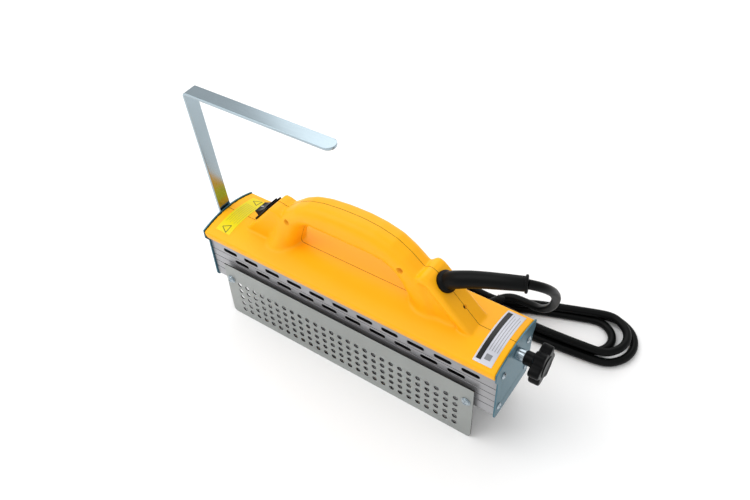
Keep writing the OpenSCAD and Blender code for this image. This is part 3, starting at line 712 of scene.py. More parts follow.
# ------------------------------------------------------------------ mains lead
@dataclass
class MainsLead:
    """Rubber lead: its sleeve, its fall behind the machine, the hank and the plug.

    The route's points are in mm, with X from the housing's middle, as in the CAD source.
    """

    site: Site
    diameter: float = 9.0
    sleeve: tuple[Point, ...] = ((102, 0, 158), (108, 0, 163.5), (116, 0, 168.5), (127, 2, 173),
                                 (140, 4, 177.5), (152, 6, 181), (163, 9, 183), (174, 13, 184))
    fall: tuple[Point, ...] = ((174, 13, 184), (180, 17, 182), (186, 25, 175), (189, 36, 163), (188, 50, 146),
                               (185, 66, 125), (180, 82, 102), (174, 96, 80), (166, 108, 60), (155, 118, 43),
                               (143, 124, 36), (127, 128, 31), (110, 127, 28))
    tail: tuple[Point, ...] = ((50, 69, 4.5), (36, 65, 4.5), (22, 64, 4.5), (8, 66, 4.5), (-6, 69, 4.5),
                               (-20, 72, 6), (-33, 74, 9), (-46, 76, 13), (-58, 76, 16.5), (-70, 76, 18.5))
    right_loop: tuple[float, float] = (220.0, 149.0)
    left_loop: tuple[float, float] = (40.0, 101.0)
    waist: tuple[float, float] = (105.0, 126.0)
    left_r: float = 25.5
    tie_w: float = 8.0

    def build(self) -> None:
        """Makes the lead and everything on it."""
        self.build_sleeve()
        parts = [self.build_tie(), *self.build_plug()]
        route = self.route()
        lead = self.build_lead(route)
        tuple(self.site.at(*self.fall[0]))

    def plan(self, s: float, t: float, z: float) -> Point:
        """Turns a place along and across the hank's own axis into the route's mm."""
        along = (Vector(self.left_loop) - Vector(self.right_loop)).normalized()
        across = Vector((along.y, -along.x))
        place = Vector(self.right_loop) + s * along + t * across
        return (place.x, place.y, z)

    def turns(self) -> list[Point]:
        """Points round the three turns of the hank, from its top layer down.

        Returns:
            Places in mm, 16 or more for each turn.
        """
        d = self.diameter
        long = (Vector(self.left_loop) - Vector(self.right_loop)).length
        along = (Vector(self.left_loop) - Vector(self.right_loop)).normalized()
        across = Vector((along.y, -along.x))
        offset = Vector(self.waist) - Vector(self.right_loop)
        waist_s, waist_t = offset.dot(along), offset.dot(across)
        layers = (2.5 * d, 1.5 * d, 0.5 * d)
        # radius, centre along and across, height and far and near lanes of each right-hand loop
        right = ((27.5, 3.0, 0.0, 1.5 * d, 0.5 * d, -0.5 * d), (23.0, 13.0, 0.8, 0.5 * d, 0.5 * d, -0.5 * d),
                 (33.5, 0.0, 0.0, 0.5 * d, 1.5 * d, -1.5 * d))
        points: list[Point] = []
        for k, (radius, s0, t0, z, far, near) in enumerate(right):
            for s, t in arc((long, 0.0), self.left_r, -90, 90, 6):
                points.append(self.plan(s, t, layers[k]))
            between = (layers[k] + z) / 2 + 1.0 * (layers[k] > z)
            points.append(self.plan(waist_s + 30, waist_t + far + 2, between))
            points.append(self.plan(waist_s, waist_t + far, z))
            points.append(self.plan(waist_s - 40, waist_t + (far + t0 + radius) / 2 - 3.4, z))
            for s, t in arc((s0, t0), radius, 90, 270, 8):
                points.append(self.plan(s, t, z))
            points.append(self.plan(waist_s - 40, waist_t + (near + t0 - radius) / 2 - 4.2, z))
            points.append(self.plan(waist_s, waist_t + near, z))
            if k < 2:
                inner = (waist_t + near - self.left_r) / 2 - 0.5
                points.append(self.plan(waist_s + 36, inner, layers[k + 1]))
        return points

    def route(self) -> list[Vector]:
        """The whole centreline, from the sleeve to the plug, in metres."""
        start = [self.plan(143, -15, 2.5 * self.diameter)]
        whole = [*self.fall, *start, *self.turns(), *self.tail]
        return [self.site.at(*p) for p in relaxed(smooth_route(whole, 3.0), 10, self.diameter / 2)]

    def build_lead(self, route: Sequence[Vector]) -> bpy.types.Object:
        """Makes the lead as a curve along its route.

        Args:
            route: Centreline in metres.

        Returns:
            The curve object.
        """
        data = bpy.data.curves.new("rubber_lead", "CURVE")
        data.dimensions = "3D"
        data.bevel_depth = self.diameter / 2 * MM
        data.bevel_resolution = 5
        data.use_fill_caps = True
        spline = data.splines.new("POLY")
        spline.points.add(len(route) - 1)
        for point, place in zip(spline.points, route):
            point.co = (*place, 1.0)
        spline.use_smooth = True
        data.materials.append(RUBBER.build())
        lead = bpy.data.objects.new("rubber_lead", data)
        bpy.context.scene.collection.objects.link(lead)
        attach(lead, "machine")
        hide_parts("mains_lead", "lead_hank", "lead_tail")
        return lead

    def build_sleeve(self) -> bpy.types.Object:
        """Makes the tapered sleeve with its root and end collars.

        Returns:
            The sleeve's object.
        """
        route = [self.site.at(*p) for p in smooth_route(self.sleeve, 2.0)]
        last = len(route) - 1
        radii = [(8.8 - 1.9 * i / last) * MM for i in range(last + 1)]
        tube = sweep(route, radii, 32)
        ahead = (route[-1] - route[-2]).normalized()
        root_dir = Vector((math.sin(math.radians(44)), 0, math.cos(math.radians(44))))
        collar = lathe([(-1.6 * MM, 0), (-1.6 * MM, 7.6 * MM), (-1.2 * MM, 8.3 * MM), (-0.4 * MM, 8.6 * MM),
                        (0.6 * MM, 8.4 * MM), (1.1 * MM, 7.6 * MM), (1.2 * MM, 5.2 * MM),
                        (0.2 * MM, 4.7 * MM),
                        (0.2 * MM, 0)], ahead, route[-1], 40)
        flange = lathe([(-3 * MM, 0), (-3 * MM, 10.2 * MM), (0, 11 * MM), (2.2 * MM, 11 * MM),
                        (3.4 * MM, 10.3 * MM),
                        (4.4 * MM, 9.0 * MM), (5.4 * MM, 8.4 * MM), (5.4 * MM, 0)], root_dir, route[0], 40)
        return piece(merged([tube, collar, flange]), "cord_sleeve", RUBBER, "machine",
                     ["strain_relief"])

    def build_tie(self) -> bpy.types.Object:
        """Makes the strap that is drawn tight round the hank's waist.

        Returns:
            The tie's object.
        """
        d, slack, wall = self.diameter, 0.3, 1.2
        lanes = [(1.5 * d, 0.5 * d), (-1.5 * d, 0.5 * d), (0.5 * d, 1.5 * d), (-0.5 * d, 1.5 * d),
                 (-0.7 * d, 2.9 * d)]
        around = [Vector(p) for y, z in lanes for p in arc((y, z), d / 2 + slack, 0, 345, 23)]
        outline = [around[i] for i in convex_hull_2d(around)]
        bm = bmesh.new()
        loop = [bm.verts.new((-self.tie_w / 2 * MM, p.x * MM, max(p.y, wall) * MM)) for p in outline]
        edges = [bm.edges.new(pair) for pair in zip(loop, loop[1:] + loop[:1])]
        moved = bmesh.ops.extrude_edge_only(bm, edges=edges)["geom"]
        bmesh.ops.translate(bm, verts=[g for g in moved if isinstance(g, bmesh.types.BMVert)],
                            vec=(self.tie_w * MM, 0, 0))
        bmesh.ops.recalc_face_normals(bm, faces=bm.faces)
        bmesh.ops.solidify(bm, geom=bm.faces[:], thickness=-wall * MM)
        along = Vector(self.right_loop) - Vector(self.left_loop)
        turn = Matrix.Rotation(math.atan2(along.y, along.x), 4, "Z")
        place = Matrix.Translation(self.site.at(*self.waist, 0.0))
        bmesh.ops.transform(bm, matrix=place @ turn, verts=bm.verts)
        tie = piece(bm, "hank_tie", BLACK, "machine", ["lead_tie"])
        crisp(tie)
        return tie

    def build_plug(self) -> list[bpy.types.Object]:
        """Makes the plug with grip ribs and its two pins.

        Returns:
            The plug's body and its pins.
        """
        at, back = self.site.at(*self.tail[-1]), Vector((-1, 0, 0))
        profile = [(-6, 0), (-6, 5.2), (-4, 6.2), (0, 6.6), (8, 7.0), (16, 8.2), (21, 11), (24, 14.6),
                   (28, 17.4),
                   (31, 18.3), (34, 18.5), (49, 18.5), (52.6, 18.0), (54, 16.8), (54, 0)]
        body = lathe([(s * MM, r * MM) for s, r in profile], back, at, 72)
        middle = at + back * 40 * MM
        ribs = []
        for k in range(12):
            turn = Matrix.Translation(middle) @ Matrix.Rotation(math.radians(30 * k + 15), 4, "X")
            rib = bmesh.new()
            bmesh.ops.create_cube(rib, size=1.0)
            bmesh.ops.scale(rib, vec=(15 * MM, 2.0 * MM, 1.6 * MM), verts=rib.verts)
            round_edges(rib, rib.edges[:], 0.5 * MM, 2)
            bmesh.ops.transform(rib, matrix=turn @ Matrix.Translation((0, 0, 17.7 * MM)), verts=rib.verts)
            ribs.append(rib)
        plug = piece(merged([body, *ribs]), "plug_moulding", RUBBER, "machine", ["plug_body"])
        pins = [lathe([(0, 0), (0, 2.4 * MM), (16.6 * MM, 2.4 * MM), (18.2 * MM, 1.9 * MM),
                       (19 * MM, 1.0 * MM),
                       (19 * MM, 0)], back, at + back * 53.9 * MM + Vector((0, side * 9.5 * MM, 0)), 32)
                for side in (-1, 1)]
        contact = piece(merged(pins), "plug_contacts", BRASS, "machine", ["plug_pins"])
        return [plug, contact]


# ------------------------------------------------------------------ cover and handle
@dataclass(frozen=True)
class Foot:
    """Widening foot of a handle leg, in mm.

    Attributes:
        low: Middle of its lower oval.
        low_half: Half sizes of the lower oval.
        top: Middle of its upper oval.
        top_half: Half sizes of the upper oval.
        height: Height of the upper oval above the lower one.
        power: How suddenly the foot widens.
    """

    low: tuple[float, float]
    low_half: tuple[float, float]
    top: tuple[float, float]
    top_half: tuple[float, float]
    height: float
    power: float


@dataclass
class Cover:
    """Two-part moulded cover with its loop handle, switch face and cord block."""

    site: Site
    voxel: float = 1.0
    grip_w: float = 33.0
    loop_top: tuple[tuple[float, float], ...] = (
        (-98, 112), (-97, 135), (-92, 154), (-81, 167), (-65, 179), (-52, 185.5), (-35, 190), (-12, 192.6),
        (12, 193), (31, 191), (50, 186), (65, 177.3), (79, 166), (88, 156), (96, 142), (101, 126), (103, 112))
    loop_inside: tuple[tuple[float, float], ...] = (
        (74, 112), (73, 123.5), (66, 134), (59, 146), (51, 155), (40, 160.6), (26, 162), (-46, 162),
        (-54, 159.6),
        (-61, 154), (-66, 144), (-70, 133), (-73, 122), (-75, 112))
    wedge: tuple[tuple[float, float], ...] = (
        (-140, 114), (-137, 120.2), (-99, 163.5), (-96.5, 165.4), (-93, 166), (-89, 165), (-84, 163.2),
        (-78, 160), (-78, 114))
    block: tuple[tuple[float, float], ...] = (
        (79, 164), (83, 168.2), (87.5, 168.6), (92, 166.6), (96, 163.2), (139.5, 121.2), (139.6, 118),
        (128, 118),
        (88.6, 157), (79, 157))
    post: tuple[tuple[float, float], ...] = ((62, 140), (84, 160), (90, 158), (130, 118), (74, 114))
    screws: tuple[tuple[float, float], ...] = ((-74, 159), (62, 164))
    screw_sink: float = 7.5
    peg: Point = (122.6, 0.0, 136.3)
    peg_r: float = 2.3
    wedge_foot: tuple[float, float] = (-137.0, 120.5)
    wedge_rise: float = 48.5
    switch_up: float = 36.5

    def build(self) -> None:
        """Makes both halves of the cover."""
        solid = self.blended(merged([self.roof(), *self.handle_parts(), *self.flares()]))
        whole = cut(solid, self.cutters())
        for name, side in (("cover_left", -1), ("cover_right", 1)):
            self.half(whole, name, side)
        whole.free()
        self.peg_screw()

    def peg_screw(self) -> None:
        """Makes the dark screw head that is sunk into the cord block's slope."""
        r, low = (self.peg_r - 0.1) * MM, -3.0 * MM
        head = lathe([(low, 0), (low, r), (low + 1.0 * MM, r), (low + 1.5 * MM, 0.7 * r),
                      (low + 1.5 * MM, 0.35 * r), (low + 0.8 * MM, 0.3 * r), (low + 0.8 * MM, 0)],
                     Vector((1, 0, 1)).normalized(), self.site.at(*self.peg), 28)
        crisp(piece(head, "block_screw", BLACK, "machine"))

    def scaled(self, outline: Iterable[Sequence[float]]) -> list[tuple[float, float]]:
        """Turns an outline in X and Z from mm, with X from the housing's middle, to metres."""
        return [(x * MM + self.site.mid_x, z * MM) for x, z in outline]

    def roof(self) -> bmesh.types.BMesh:
        """Makes the arched roof with its stepped side lips."""
        site = self.site
        half = math.degrees(math.asin(site.half_w / site.arch_r))
        top = arc((0.0, site.crown_z - site.arch_r), site.arch_r, 90 - half, 90 + half, 32)
        step_z, step = site.cover_z + 3.2 * MM, 0.9 * MM
        lip = [(site.half_w, step_z + 0.7 * MM), (site.half_w - step, step_z),
               (site.half_w - step, site.cover_z)]
        outline = [*[(-y, z) for y, z in reversed(lip)], *reversed(top), *lip]
        gap = 0.4 * MM
        return prism(outline, site.mid_x - site.half_l + gap, site.mid_x + site.half_l - gap, "yz")

    def rounded(self, outline: Iterable[Sequence[float]], width: float, radius: float,
                segments: int = 6) -> bmesh.types.BMesh:
        """Extrudes a side view across Y and rounds its two rims.

        Args:
            outline: Side view in mm.
            width: Whole width across Y in mm.
            radius: Radius of the rims in mm.
            segments: Segments across the rounding.

        Returns:
            The rounded solid.
        """
        half = width / 2 * MM
        bm = prism(self.scaled(outline), -half, half)
        rims = [e for e in bm.edges if abs(e.verts[0].co.y - e.verts[1].co.y) < 1e-6]
        bmesh.ops.bevel(bm, geom=rims, offset=radius * MM, offset_type="OFFSET", segments=segments,
                        profile=0.5, affect="EDGES", clamp_overlap=False, material=-1)
        return bm

    def handle_parts(self) -> list[bmesh.types.BMesh]:
        """Makes the loop, the switch wedge, the cord block and the post below it."""
        return [self.rounded([*self.loop_top, *self.loop_inside], self.grip_w, 11.0, 8),
                self.rounded(self.wedge, 29.0, 2.6, 3),
                self.rounded(self.block, 34.0, 4.2, 4),
                self.rounded(self.post, 27.0, 7.0, 5)]

    def flares(self) -> list[bmesh.types.BMesh]:
        """Makes the widening feet where the handle's legs run into the roof."""
        return [self.flare(Foot((-95.0, 0.0), (22.0, 26.0), (-84.0, 0.0), (11.0, 15.5), 44.0, 2.2)),
                self.flare(Foot((88.0, 0.0), (27.0, 20.0), (84.0, 0.0), (17.0, 12.5), 26.0, 3.0))]

    def flare(self, foot: "Foot") -> bmesh.types.BMesh:
        """Makes one foot, an oval that widens more and more towards the roof.

        Args:
            foot: Places and sizes of its lower and upper oval.

        Returns:
            A closed solid.
        """
        bm = bmesh.new()
        base = self.site.crown_z / MM - 6
        steps = 12
        face = bmesh.ops.create_circle(bm, cap_ends=True, radius=1.0, segments=64)["verts"][0].link_faces[0]
        ring = list(face.verts)
        previous = Matrix.Identity(4)
        for i in range(steps + 1):
            share = (1 - i / steps) ** foot.power
            x, y, half_x, half_y = (top + (low - top) * share for low, top in
                                    zip((*foot.low, *foot.low_half), (*foot.top, *foot.top_half)))
            place = (Matrix.Translation(self.site.at(x, y, base + foot.height * i / steps))
                     @ Matrix.Diagonal((half_x * MM, half_y * MM, 1.0, 1.0)))
            if i:
                moved = bmesh.ops.extrude_face_region(bm, geom=[face])["geom"]
                ring = [g for g in moved if isinstance(g, bmesh.types.BMVert)]
                grown = next(g for g in moved if isinstance(g, bmesh.types.BMFace))
                if i > 1:
                    bmesh.ops.delete(bm, geom=[face], context="FACES_ONLY")
                face = grown
            bmesh.ops.transform(bm, matrix=place @ previous.inverted(), verts=ring)
            previous = place
        bmesh.ops.recalc_face_normals(bm, faces=bm.faces)
        return bm

    def blended(self, bm: bmesh.types.BMesh) -> bmesh.types.BMesh:
        """Melts the parts into one skin and softens where they meet.

        Args:
            bm: Overlapping closed parts.

        Returns:
            One closed skin.
        """
        def remesh(holder: bpy.types.Object) -> None:
            """Adds the voxel skin."""
            modifier = holder.modifiers.new("skin", "REMESH")
            modifier.mode = "VOXEL"
            modifier.voxel_size = self.voxel * MM

        def soften(verts: Sequence[bmesh.types.BMVert], passes: int) -> None:
            """Moves some corners of the skin towards their neighbours."""
            for _ in range(passes):
                bmesh.ops.smooth_vert(skin, verts=verts, factor=0.5, use_axis_x=True, use_axis_y=True,
                                      use_axis_z=True)

        skin = applied(bm, remesh)
        soften(skin.verts[:], 3)
        top = self.site.crown_z
        soften([v for v in skin.verts if v.co.z > top + 2 * MM and not self.is_crisp(v.co)], 14)
        soften([v for v in skin.verts if abs(v.co.y) < 34 * MM and self.near_foot(v.co)], 26)
        return skin

    def is_crisp(self, place: Vector) -> bool:
        """Whether a place is on the switch wedge or the cord block, which keep sharper edges."""
        x, z = (place.x - self.site.mid_x) / MM, place.z / MM
        return x < -95.5 or (x > 84 and x + z > 244)

    def near_foot(self, place: Vector) -> bool:
        """Whether a place is where the handle runs into the roof."""
        x, z = (place.x - self.site.mid_x) / MM, place.z / MM
        rise = place.z - self.site.arch_z(place.y)
        return -1 * MM < rise < 12 * MM and (-104 < x < -45 or 55 < x < 122) and not (x > 84 and x + z > 246)

    def cutters(self) -> bmesh.types.BMesh:
        """Everything that is cut out of the cover: its inside, the switch pocket and the screw holes."""
        site = self.site
        wall, end = 2.5 * MM, 3 * MM
        half = site.side_y - 1.6 * MM
        reach = math.degrees(math.asin(half / (site.arch_r - wall)))
        top = arc((0.0, site.crown_z - site.arch_r), site.arch_r - wall, 90 - reach, 90 + reach, 24)
        seat = site.side_y + 0.3 * MM
        seat_z = site.cover_z + 1.5 * MM
        outline = [(-seat, site.cover_z - end), (-seat, seat_z), (-half, seat_z), *reversed(top),
                   (half, seat_z),
                   (seat, seat_z), (seat, site.cover_z - end)]
        inside = prism(outline, site.mid_x - site.half_l - end, site.mid_x + site.half_l + end, "yz")
        pocket = bmesh.new()
        bmesh.ops.create_cube(pocket, size=1.0)
        bmesh.ops.scale(pocket, vec=(27 * MM, 21 * MM, 26 * MM), verts=pocket.verts)
        sunk_in = self.switch_place() @ Matrix.Translation((0, 0, -6 * MM))
        bmesh.ops.transform(pocket, matrix=sunk_in, verts=pocket.verts)
        holes = [lathe([(0, 0), (0, 3.4 * MM), (10 * MM, 3.6 * MM), (10 * MM, 0)], Vector((0, -1, 0)),
                       site.at(x, -self.grip_w / 2 + self.screw_sink, z), 32) for x, z in self.screws]
        sunk, over = 3 * MM, 6 * MM
        peg = lathe([(-sunk, 0), (-sunk, self.peg_r * MM), (over, self.peg_r * MM), (over, 0)],
                    Vector((1, 0, 1)).normalized(), site.at(*self.peg), 28)
        return merged([inside, pocket, *holes, peg])

    def switch_place(self) -> Matrix:
        """Places the switch face's own frame, with X up the slope and Z out of it."""
        return (Matrix.Translation(self.site.at(self.wedge_foot[0], 0, self.wedge_foot[1]))
                @ Matrix.Rotation(-math.radians(self.wedge_rise), 4, "Y")
                @ Matrix.Translation((self.switch_up * MM, 0, 0)))

    def half(self, whole: bmesh.types.BMesh, name: str, side: int) -> None:
        """Makes one half of the cover, cut at the parting line.

        Args:
            whole: Skin of the whole cover.
            name: CAD node that the half stands for.
            side: -1 for the left half and 1 for the right.
        """
        bm = whole.copy()
        gap = 0.24 * MM
        cutting = bmesh.ops.bisect_plane(bm, geom=bm.verts[:] + bm.edges[:] + bm.faces[:], dist=1e-7,
                                         plane_co=(0, side * gap, 0), plane_no=(0, -side, 0),
                                         clear_outer=True)
        rim = [g for g in cutting["geom_cut"] if isinstance(g, bmesh.types.BMEdge)]
        filled = bmesh.ops.triangle_fill(bm, edges=rim, use_beauty=True, use_dissolve=False)["geom"]
        # The cut faces get the dark brown painted shade, for the shadow in the gap between the halves.
        for face in (g for g in filled if isinstance(g, bmesh.types.BMFace)):
            face.material_index = 1
        bmesh.ops.recalc_face_normals(bm, faces=bm.faces)
        shell = piece(bm, f"{name}_moulding", YELLOW, "machine", [name])
        shell.data.materials.append(SEAM_SHADE.build())


# ------------------------------------------------------------------ small assemblies
@dataclass
class Switch:
    """Rocker switch on the handle's sloping face, in mm along its own face."""

    cover: Cover
    length: float = 30.0
    width: float = 24.0
    window_l: float = 26.2
    window_w: float = 17.6
    rim: float = 2.2
    rocker_l: float = 25.0
    rocker_w: float = 17.0
    tilt: float = 11.0

    def build(self) -> None:
        """Makes the bezel, the rocker and the rocker's two marks."""
        self.bezel()
        self.rocker()
        self.marks()

    def bezel(self) -> None:
        """Makes the rounded frame with its clip body below."""
        corner = 2.0
        outline = [(sx * (self.length / 2 - corner) + dx, sy * (self.width / 2 - corner) + dy)
                   for sx, sy, a in ((1, 1, 0), (-1, 1, 90), (-1, -1, 180), (1, -1, 270))
                   for dx, dy in arc((0.0, 0.0), corner, a, a + 90, 5)]
        plate = prism(outline, 0.02, self.rim, "xy")
        round_edges(plate, [e for e in plate.edges if e.verts[0].co.z > 1 and e.verts[1].co.z > 1], 0.8, 3)
        core = bmesh.new()
        bmesh.ops.create_cube(core, size=1.0)
        clip_body = Matrix.Translation((0, 0, -6.4)) @ Matrix.Diagonal((26.4, 20.4, 13.0, 1.0))
        bmesh.ops.transform(core, matrix=clip_body, verts=core.verts)
        window = bmesh.new()
        bmesh.ops.create_cube(window, size=1.0)
        bmesh.ops.transform(window, matrix=Matrix.Translation((0, 0, -3.0)) @ Matrix.Diagonal(
            (self.window_l, self.window_w, 14.0, 1.0)), verts=window.verts)
        round_edges(window, [e for e in window.edges if abs(e.verts[0].co.z - e.verts[1].co.z) > 1], 0.8, 3)
        frame_bm = cut(merged([plate, core]), window)
        self.seat(frame_bm, Matrix.Identity(4))
        crisp(piece(frame_bm, "switch_bezel", BLACK, "machine", ["switch_body"]))

    def rocker(self) -> None:
        """Makes the rocker with its dished face and two raised ends."""
        half = self.rocker_l / 2
        dish = [(half - 1.0 - (self.rocker_l - 2.0) * i / 16, 4.1 + 2.1 * abs(1 - i / 8) ** 2.2)
                for i in range(17)]
        outline = [(-half + 1.6, -3.6), (half - 1.6, -3.6), *dish]
        bm = prism(outline, -self.rocker_w / 2, self.rocker_w / 2)
        round_edges(bm, rim_edges(bm, 40), 0.6, 3)
        self.seat(bm, Matrix.Rotation(math.radians(self.tilt), 4, "Y"))
        crisp(piece(bm, "rocker_cap", BLACK, "rocker", ["switch_rocker"]))

    def marks(self) -> None:
        """Makes the plain bar and ring that show on and off."""
        turn = Matrix.Rotation(math.radians(self.tilt), 4, "Y")
        bar = bmesh.new()
        bmesh.ops.create_cube(bar, size=1.0)
        slope = Matrix.Rotation(math.radians(14), 4, "Y")
        bmesh.ops.transform(bar, matrix=Matrix.Translation((-7.2, 0, 5.1)) @ slope
                            @ Matrix.Diagonal((4.2, 0.9, 0.3, 1.0)), verts=bar.verts)
        ring = lathe([(0.0, 1.5), (0.0, 2.2), (0.3, 2.2), (0.3, 1.5), (0.0, 1.5)], Vector((-0.24, 0, 0.97)),
                     Vector((7.2, 0, 4.9)), 32)
        both = merged([bar, ring])
        self.seat(both, turn)
        piece(both, "rocker_marks", WHITE_INK, "rocker", smooth=False)

    def seat(self, bm: bmesh.types.BMesh, turn: Matrix) -> None:
        """Brings a mesh from mm on the switch face to its place on the handle.

        Args:
            bm: Mesh to move.
            turn: Turn about the rocker's pin.
        """
        bmesh.ops.transform(bm, matrix=self.cover.switch_place() @ Matrix.Diagonal((MM, MM, MM, 1.0)) @ turn,
                            verts=bm.verts)


@dataclass
class Labels:
    """Plain printing on the two labels, laid on the arched roof, in mm."""

    site: Site
    ink_t: float = 0.06
    triangle: float = 6.5

    def build(self) -> None:
        """Prints both labels."""
        low, high = self.span("warning_label")
        mid = (low + high) / 2
        outlines = [bar for side in (-1, 1) for bar in self.triangle_bars(mid, side * 25.0)]
        self.print_on(outlines, "warning_outlines", INK)
        lines = [self.bar(low + 3.2 + 2.7 * k, low + 3.7 + 2.7 * k, -17.0 + 2 * (k % 2), 17.0)
                 for k in range(6)]
        self.print_on(lines, "warning_lines", OLIVE_INK)
        low, high = self.span("rating_label")
        self.print_on([self.bar(low + 1.6, low + 6.6, -32.0, 32.0)], "rating_band", INK)
        lines = [self.bar(low + 8.6 + 2.6 * k, low + 9.1 + 2.6 * k, -20.0, 31.0 - 4 * (k % 2))
                 for k in range(4)]
        boxes = [self.bar(low + 8.8, low + 14.8, -30.0, -24.0)]
        self.print_on(lines, "rating_lines", GREY_INK)
        self.print_on(boxes, "rating_square", GREY_INK)

    def span(self, node: str) -> tuple[float, float]:
        """Where a label starts and ends along X, in mm from the housing's middle."""
        low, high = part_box(node)
        return (low.x - self.site.mid_x) / MM, (high.x - self.site.mid_x) / MM

    def bar(self, x0: float, x1: float, y0: float, y1: float) -> bmesh.types.BMesh:
        """Makes a flat bar between two places in X and in Y."""
        bm = bmesh.new()
        bmesh.ops.create_grid(bm, x_segments=1, y_segments=24, size=0.5)
        middle = Vector(((x0 + x1) / 2, (y0 + y1) / 2, 0))
        size = Matrix.Diagonal((x1 - x0, y1 - y0, 1.0, 1.0))
        bmesh.ops.transform(bm, matrix=Matrix.Translation(middle) @ size, verts=bm.verts)
        return bm

    def triangle_bars(self, x: float, y: float) -> list[bmesh.types.BMesh]:
        """Makes the three sides of a triangle that points along -X.

        Args:
            x: Middle of the triangle along X.
            y: Middle of the triangle along Y.

        Returns:
            Three flat bars.
        """
        bars = []
        for k in range(3):
            side = self.bar(-0.35, 0.35, -self.triangle * 0.78, self.triangle * 0.78)
            turn = Matrix.Rotation(math.radians(120 * k), 4, "Z")
            bmesh.ops.transform(side, matrix=Matrix.Translation((x + 1, y, 0)) @ turn
                                @ Matrix.Translation((self.triangle * 0.45, 0, 0)), verts=side.verts)
            bars.append(side)
        return bars

    def print_on(self, parts: Sequence[bmesh.types.BMesh], name: str, finish: Finish) -> None:
        """Lays flat shapes on the roof's arch and makes them one printed piece.

        Args:
            parts: Flat shapes in mm.
            name: Name of the piece.
            finish: Finish of the ink.
        """
        bm = merged(parts)
        for v in bm.verts:
            place = self.site.at(v.co.x, v.co.y, 0.0)
            v.co = (place.x, place.y, self.site.arch_z(place.y) + self.site.label_t + 0.02 * MM)
        bmesh.ops.solidify(bm, geom=bm.faces[:], thickness=-self.ink_t * MM)
        bmesh.ops.recalc_face_normals(bm, faces=bm.faces)
        piece(bm, name, finish, "machine", smooth=False)


@dataclass
class StarKnob:
    """Six-lobed clamping knob with its hub and front disc, in mm."""

    site: Site
    radius: float = 19.5
    waist: float = 14.6
    lobes: int = 6
    turn: float = -10.4
    hub_r: float = 7.0
    hub_l: float = 11.0
    rim: float = 2.0

    def build(self) -> None:
        """Makes the knob as one moulding."""
        low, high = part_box("star_knob")
        back, front = low.x / MM, high.x / MM
        steps = 20 * self.lobes
        outline = []
        for i in range(steps):
            angle = math.tau * i / steps
            wave = 0.5 + 0.5 * math.cos(self.lobes * angle)
            r = (self.waist + (self.radius - self.waist) * wave ** 0.75) * MM
            around = angle + math.radians(self.turn)
            outline.append((r * math.cos(around), self.site.axis_z + r * math.sin(around)))
        body = prism(outline, (back + 10) * MM, (front - 1) * MM, "yz")
        rims = [e for e in body.edges if abs(e.verts[0].co.x - e.verts[1].co.x) < 1e-6]
        round_edges(body, rims, self.rim * MM, 4)
        axis, centre = Vector((1, 0, 0)), Vector((0, 0, self.site.axis_z))
        hub = lathe([((back + s) * MM, r * MM) for s, r in (
            (0, 4.0), (0, self.hub_r - 0.6), (0.6, self.hub_r), (self.hub_l - 2.5, self.hub_r),
            (self.hub_l - 1.2, self.hub_r + 0.6), (self.hub_l, self.hub_r + 2.0),
            (self.hub_l + 2, self.hub_r + 2.0),
            (self.hub_l + 2, 4.0), (0, 4.0))], axis, centre, 48)
        disc = lathe([((front + s) * MM, r * MM) for s, r in (
            (-2.5, 0), (-2.5, 11.0), (-0.5, 11.0), (-0.05, 10.4), (-0.05, 9.2), (-0.7, 8.4), (-0.7, 0))],
            axis, centre, 48)
        whole = merged([body, hub, disc])
        crisp(piece(whole, "knob_moulding", BLACK, "knob", ["star_knob"]))


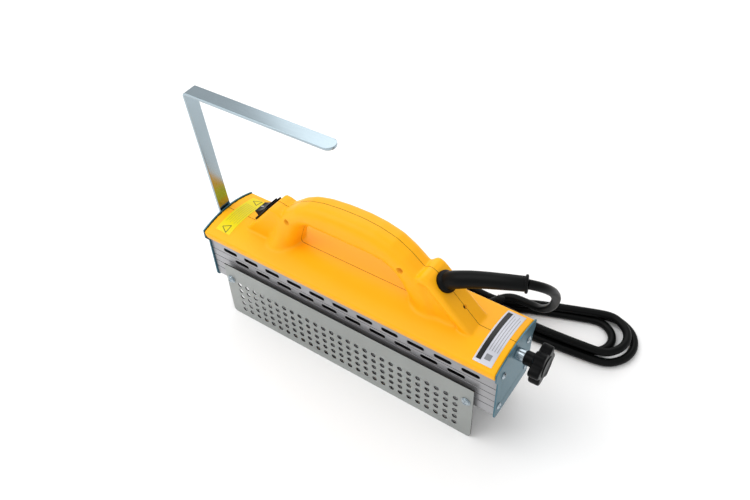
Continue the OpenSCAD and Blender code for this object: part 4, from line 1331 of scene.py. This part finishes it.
@dataclass
class HeatingCoils:
    """Wound resistance wire inside the two quartz tubes, in mm."""

    coil_r: float = 1.75
    wire_r: float = 0.32
    pitch: float = 1.9
    steps: int = 10

    def build(self) -> None:
        """Winds one coil in each tube and makes both one piece."""
        low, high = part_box("heating_coils")
        z = (low.z + high.z) / 2
        data = bpy.data.curves.new("wound_coils", "CURVE")
        data.dimensions = "3D"
        data.bevel_depth = self.wire_r * MM
        data.bevel_resolution = 1
        data.use_fill_caps = True
        count = round((high.x - low.x) / (self.pitch * MM)) * self.steps
        reach = self.coil_r * MM
        for y in (low.y + 2 * MM, high.y - 2 * MM):
            spline = data.splines.new("POLY")
            spline.points.add(count)
            for i, point in enumerate(spline.points):
                angle = math.tau * i / self.steps
                x = low.x + (high.x - low.x) * i / count
                point.co = (x, y + reach * math.cos(angle), z + reach * math.sin(angle), 1.0)
        data.materials.append(COIL_WIRE.build())
        coils = bpy.data.objects.new("wound_coils", data)
        bpy.context.scene.collection.objects.link(coils)
        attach(coils, "machine")
        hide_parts("heating_coils")
        LOG.info("wound_coils: two coils of %d turns", count // self.steps)


@dataclass
class Hardware:
    """Sheet metal, screws and the inside, whose CAD shapes are shown as they are."""

    plan: tuple[tuple[str, Finish, float], ...] = (
        ("housing", PROFILE, 0.25), ("front_end_plate", ZINC_REFLECTION_TINT, 0.25), ("rear_end_plate", ZINC_REFLECTION_TINT, 0.25),
        ("guard_left", GUARD_STEEL, 0.2), ("guard_right", GUARD_STEEL, 0.2), ("guard_spacers", BRIGHT, 0.3),
        ("guard_washers", BRIGHT, 0.2), ("guard_screws", BRIGHT, 0.15), ("front_plate_screws", BRIGHT, 0.15),
        ("rear_plate_screws", BRIGHT, 0.15), ("handle_screws", BRIGHT, 0.12), ("deck_screws", BRIGHT, 0.12),
        ("hanging_bar", BAR_STEEL, 0.5), ("bar_bolt", BRIGHT, 0.3), ("bar_washers", BRIGHT, 0.2),
        ("bar_nut", BRIGHT, 0.3), ("rear_stud", BRIGHT, 0.3), ("stud_nut", BRIGHT, 0.3),
        ("knob_spacer", BRIGHT, 0.4), ("warning_label", LABEL_YELLOW, 0.0),
        ("rating_label", LABEL_SILVER, 0.0), ("reflector", MIRROR, 0.0), ("heat_shield", SOOTED, 0.0),
        ("lamp_bracket_front", ZINC_REFLECTION_TINT, 0.2), ("lamp_bracket_rear", ZINC_REFLECTION_TINT, 0.2), ("lamp_tube_left", QUARTZ, 0.0),
        ("lamp_tube_right", QUARTZ, 0.0), ("ceramic_ends", CERAMIC, 0.4),
        ("wire_grille", BRIGHT, 0.0), ("terminal_block", CERAMIC, 0.4), ("inner_leads", WIRE_RED, 0.0))

    def build(self) -> None:
        """Dresses every CAD node in the plan."""
        for node, finish, radius in self.plan:
            dress(node, finish, radius * MM)


def main() -> None:
    """Builds the stage and every sub-assembly in order."""
    logging.basicConfig(level=logging.INFO, format="%(message)s")
    site = Site.from_frame()
    Studio(site).build()
    MainsLead(site).build()
    cover = Cover(site)
    cover.build()
    Switch(cover).build()
    Labels(site).build()
    StarKnob(site).build()
    HeatingCoils().build()
    Hardware().build()


if __name__ == "__main__":
    main()
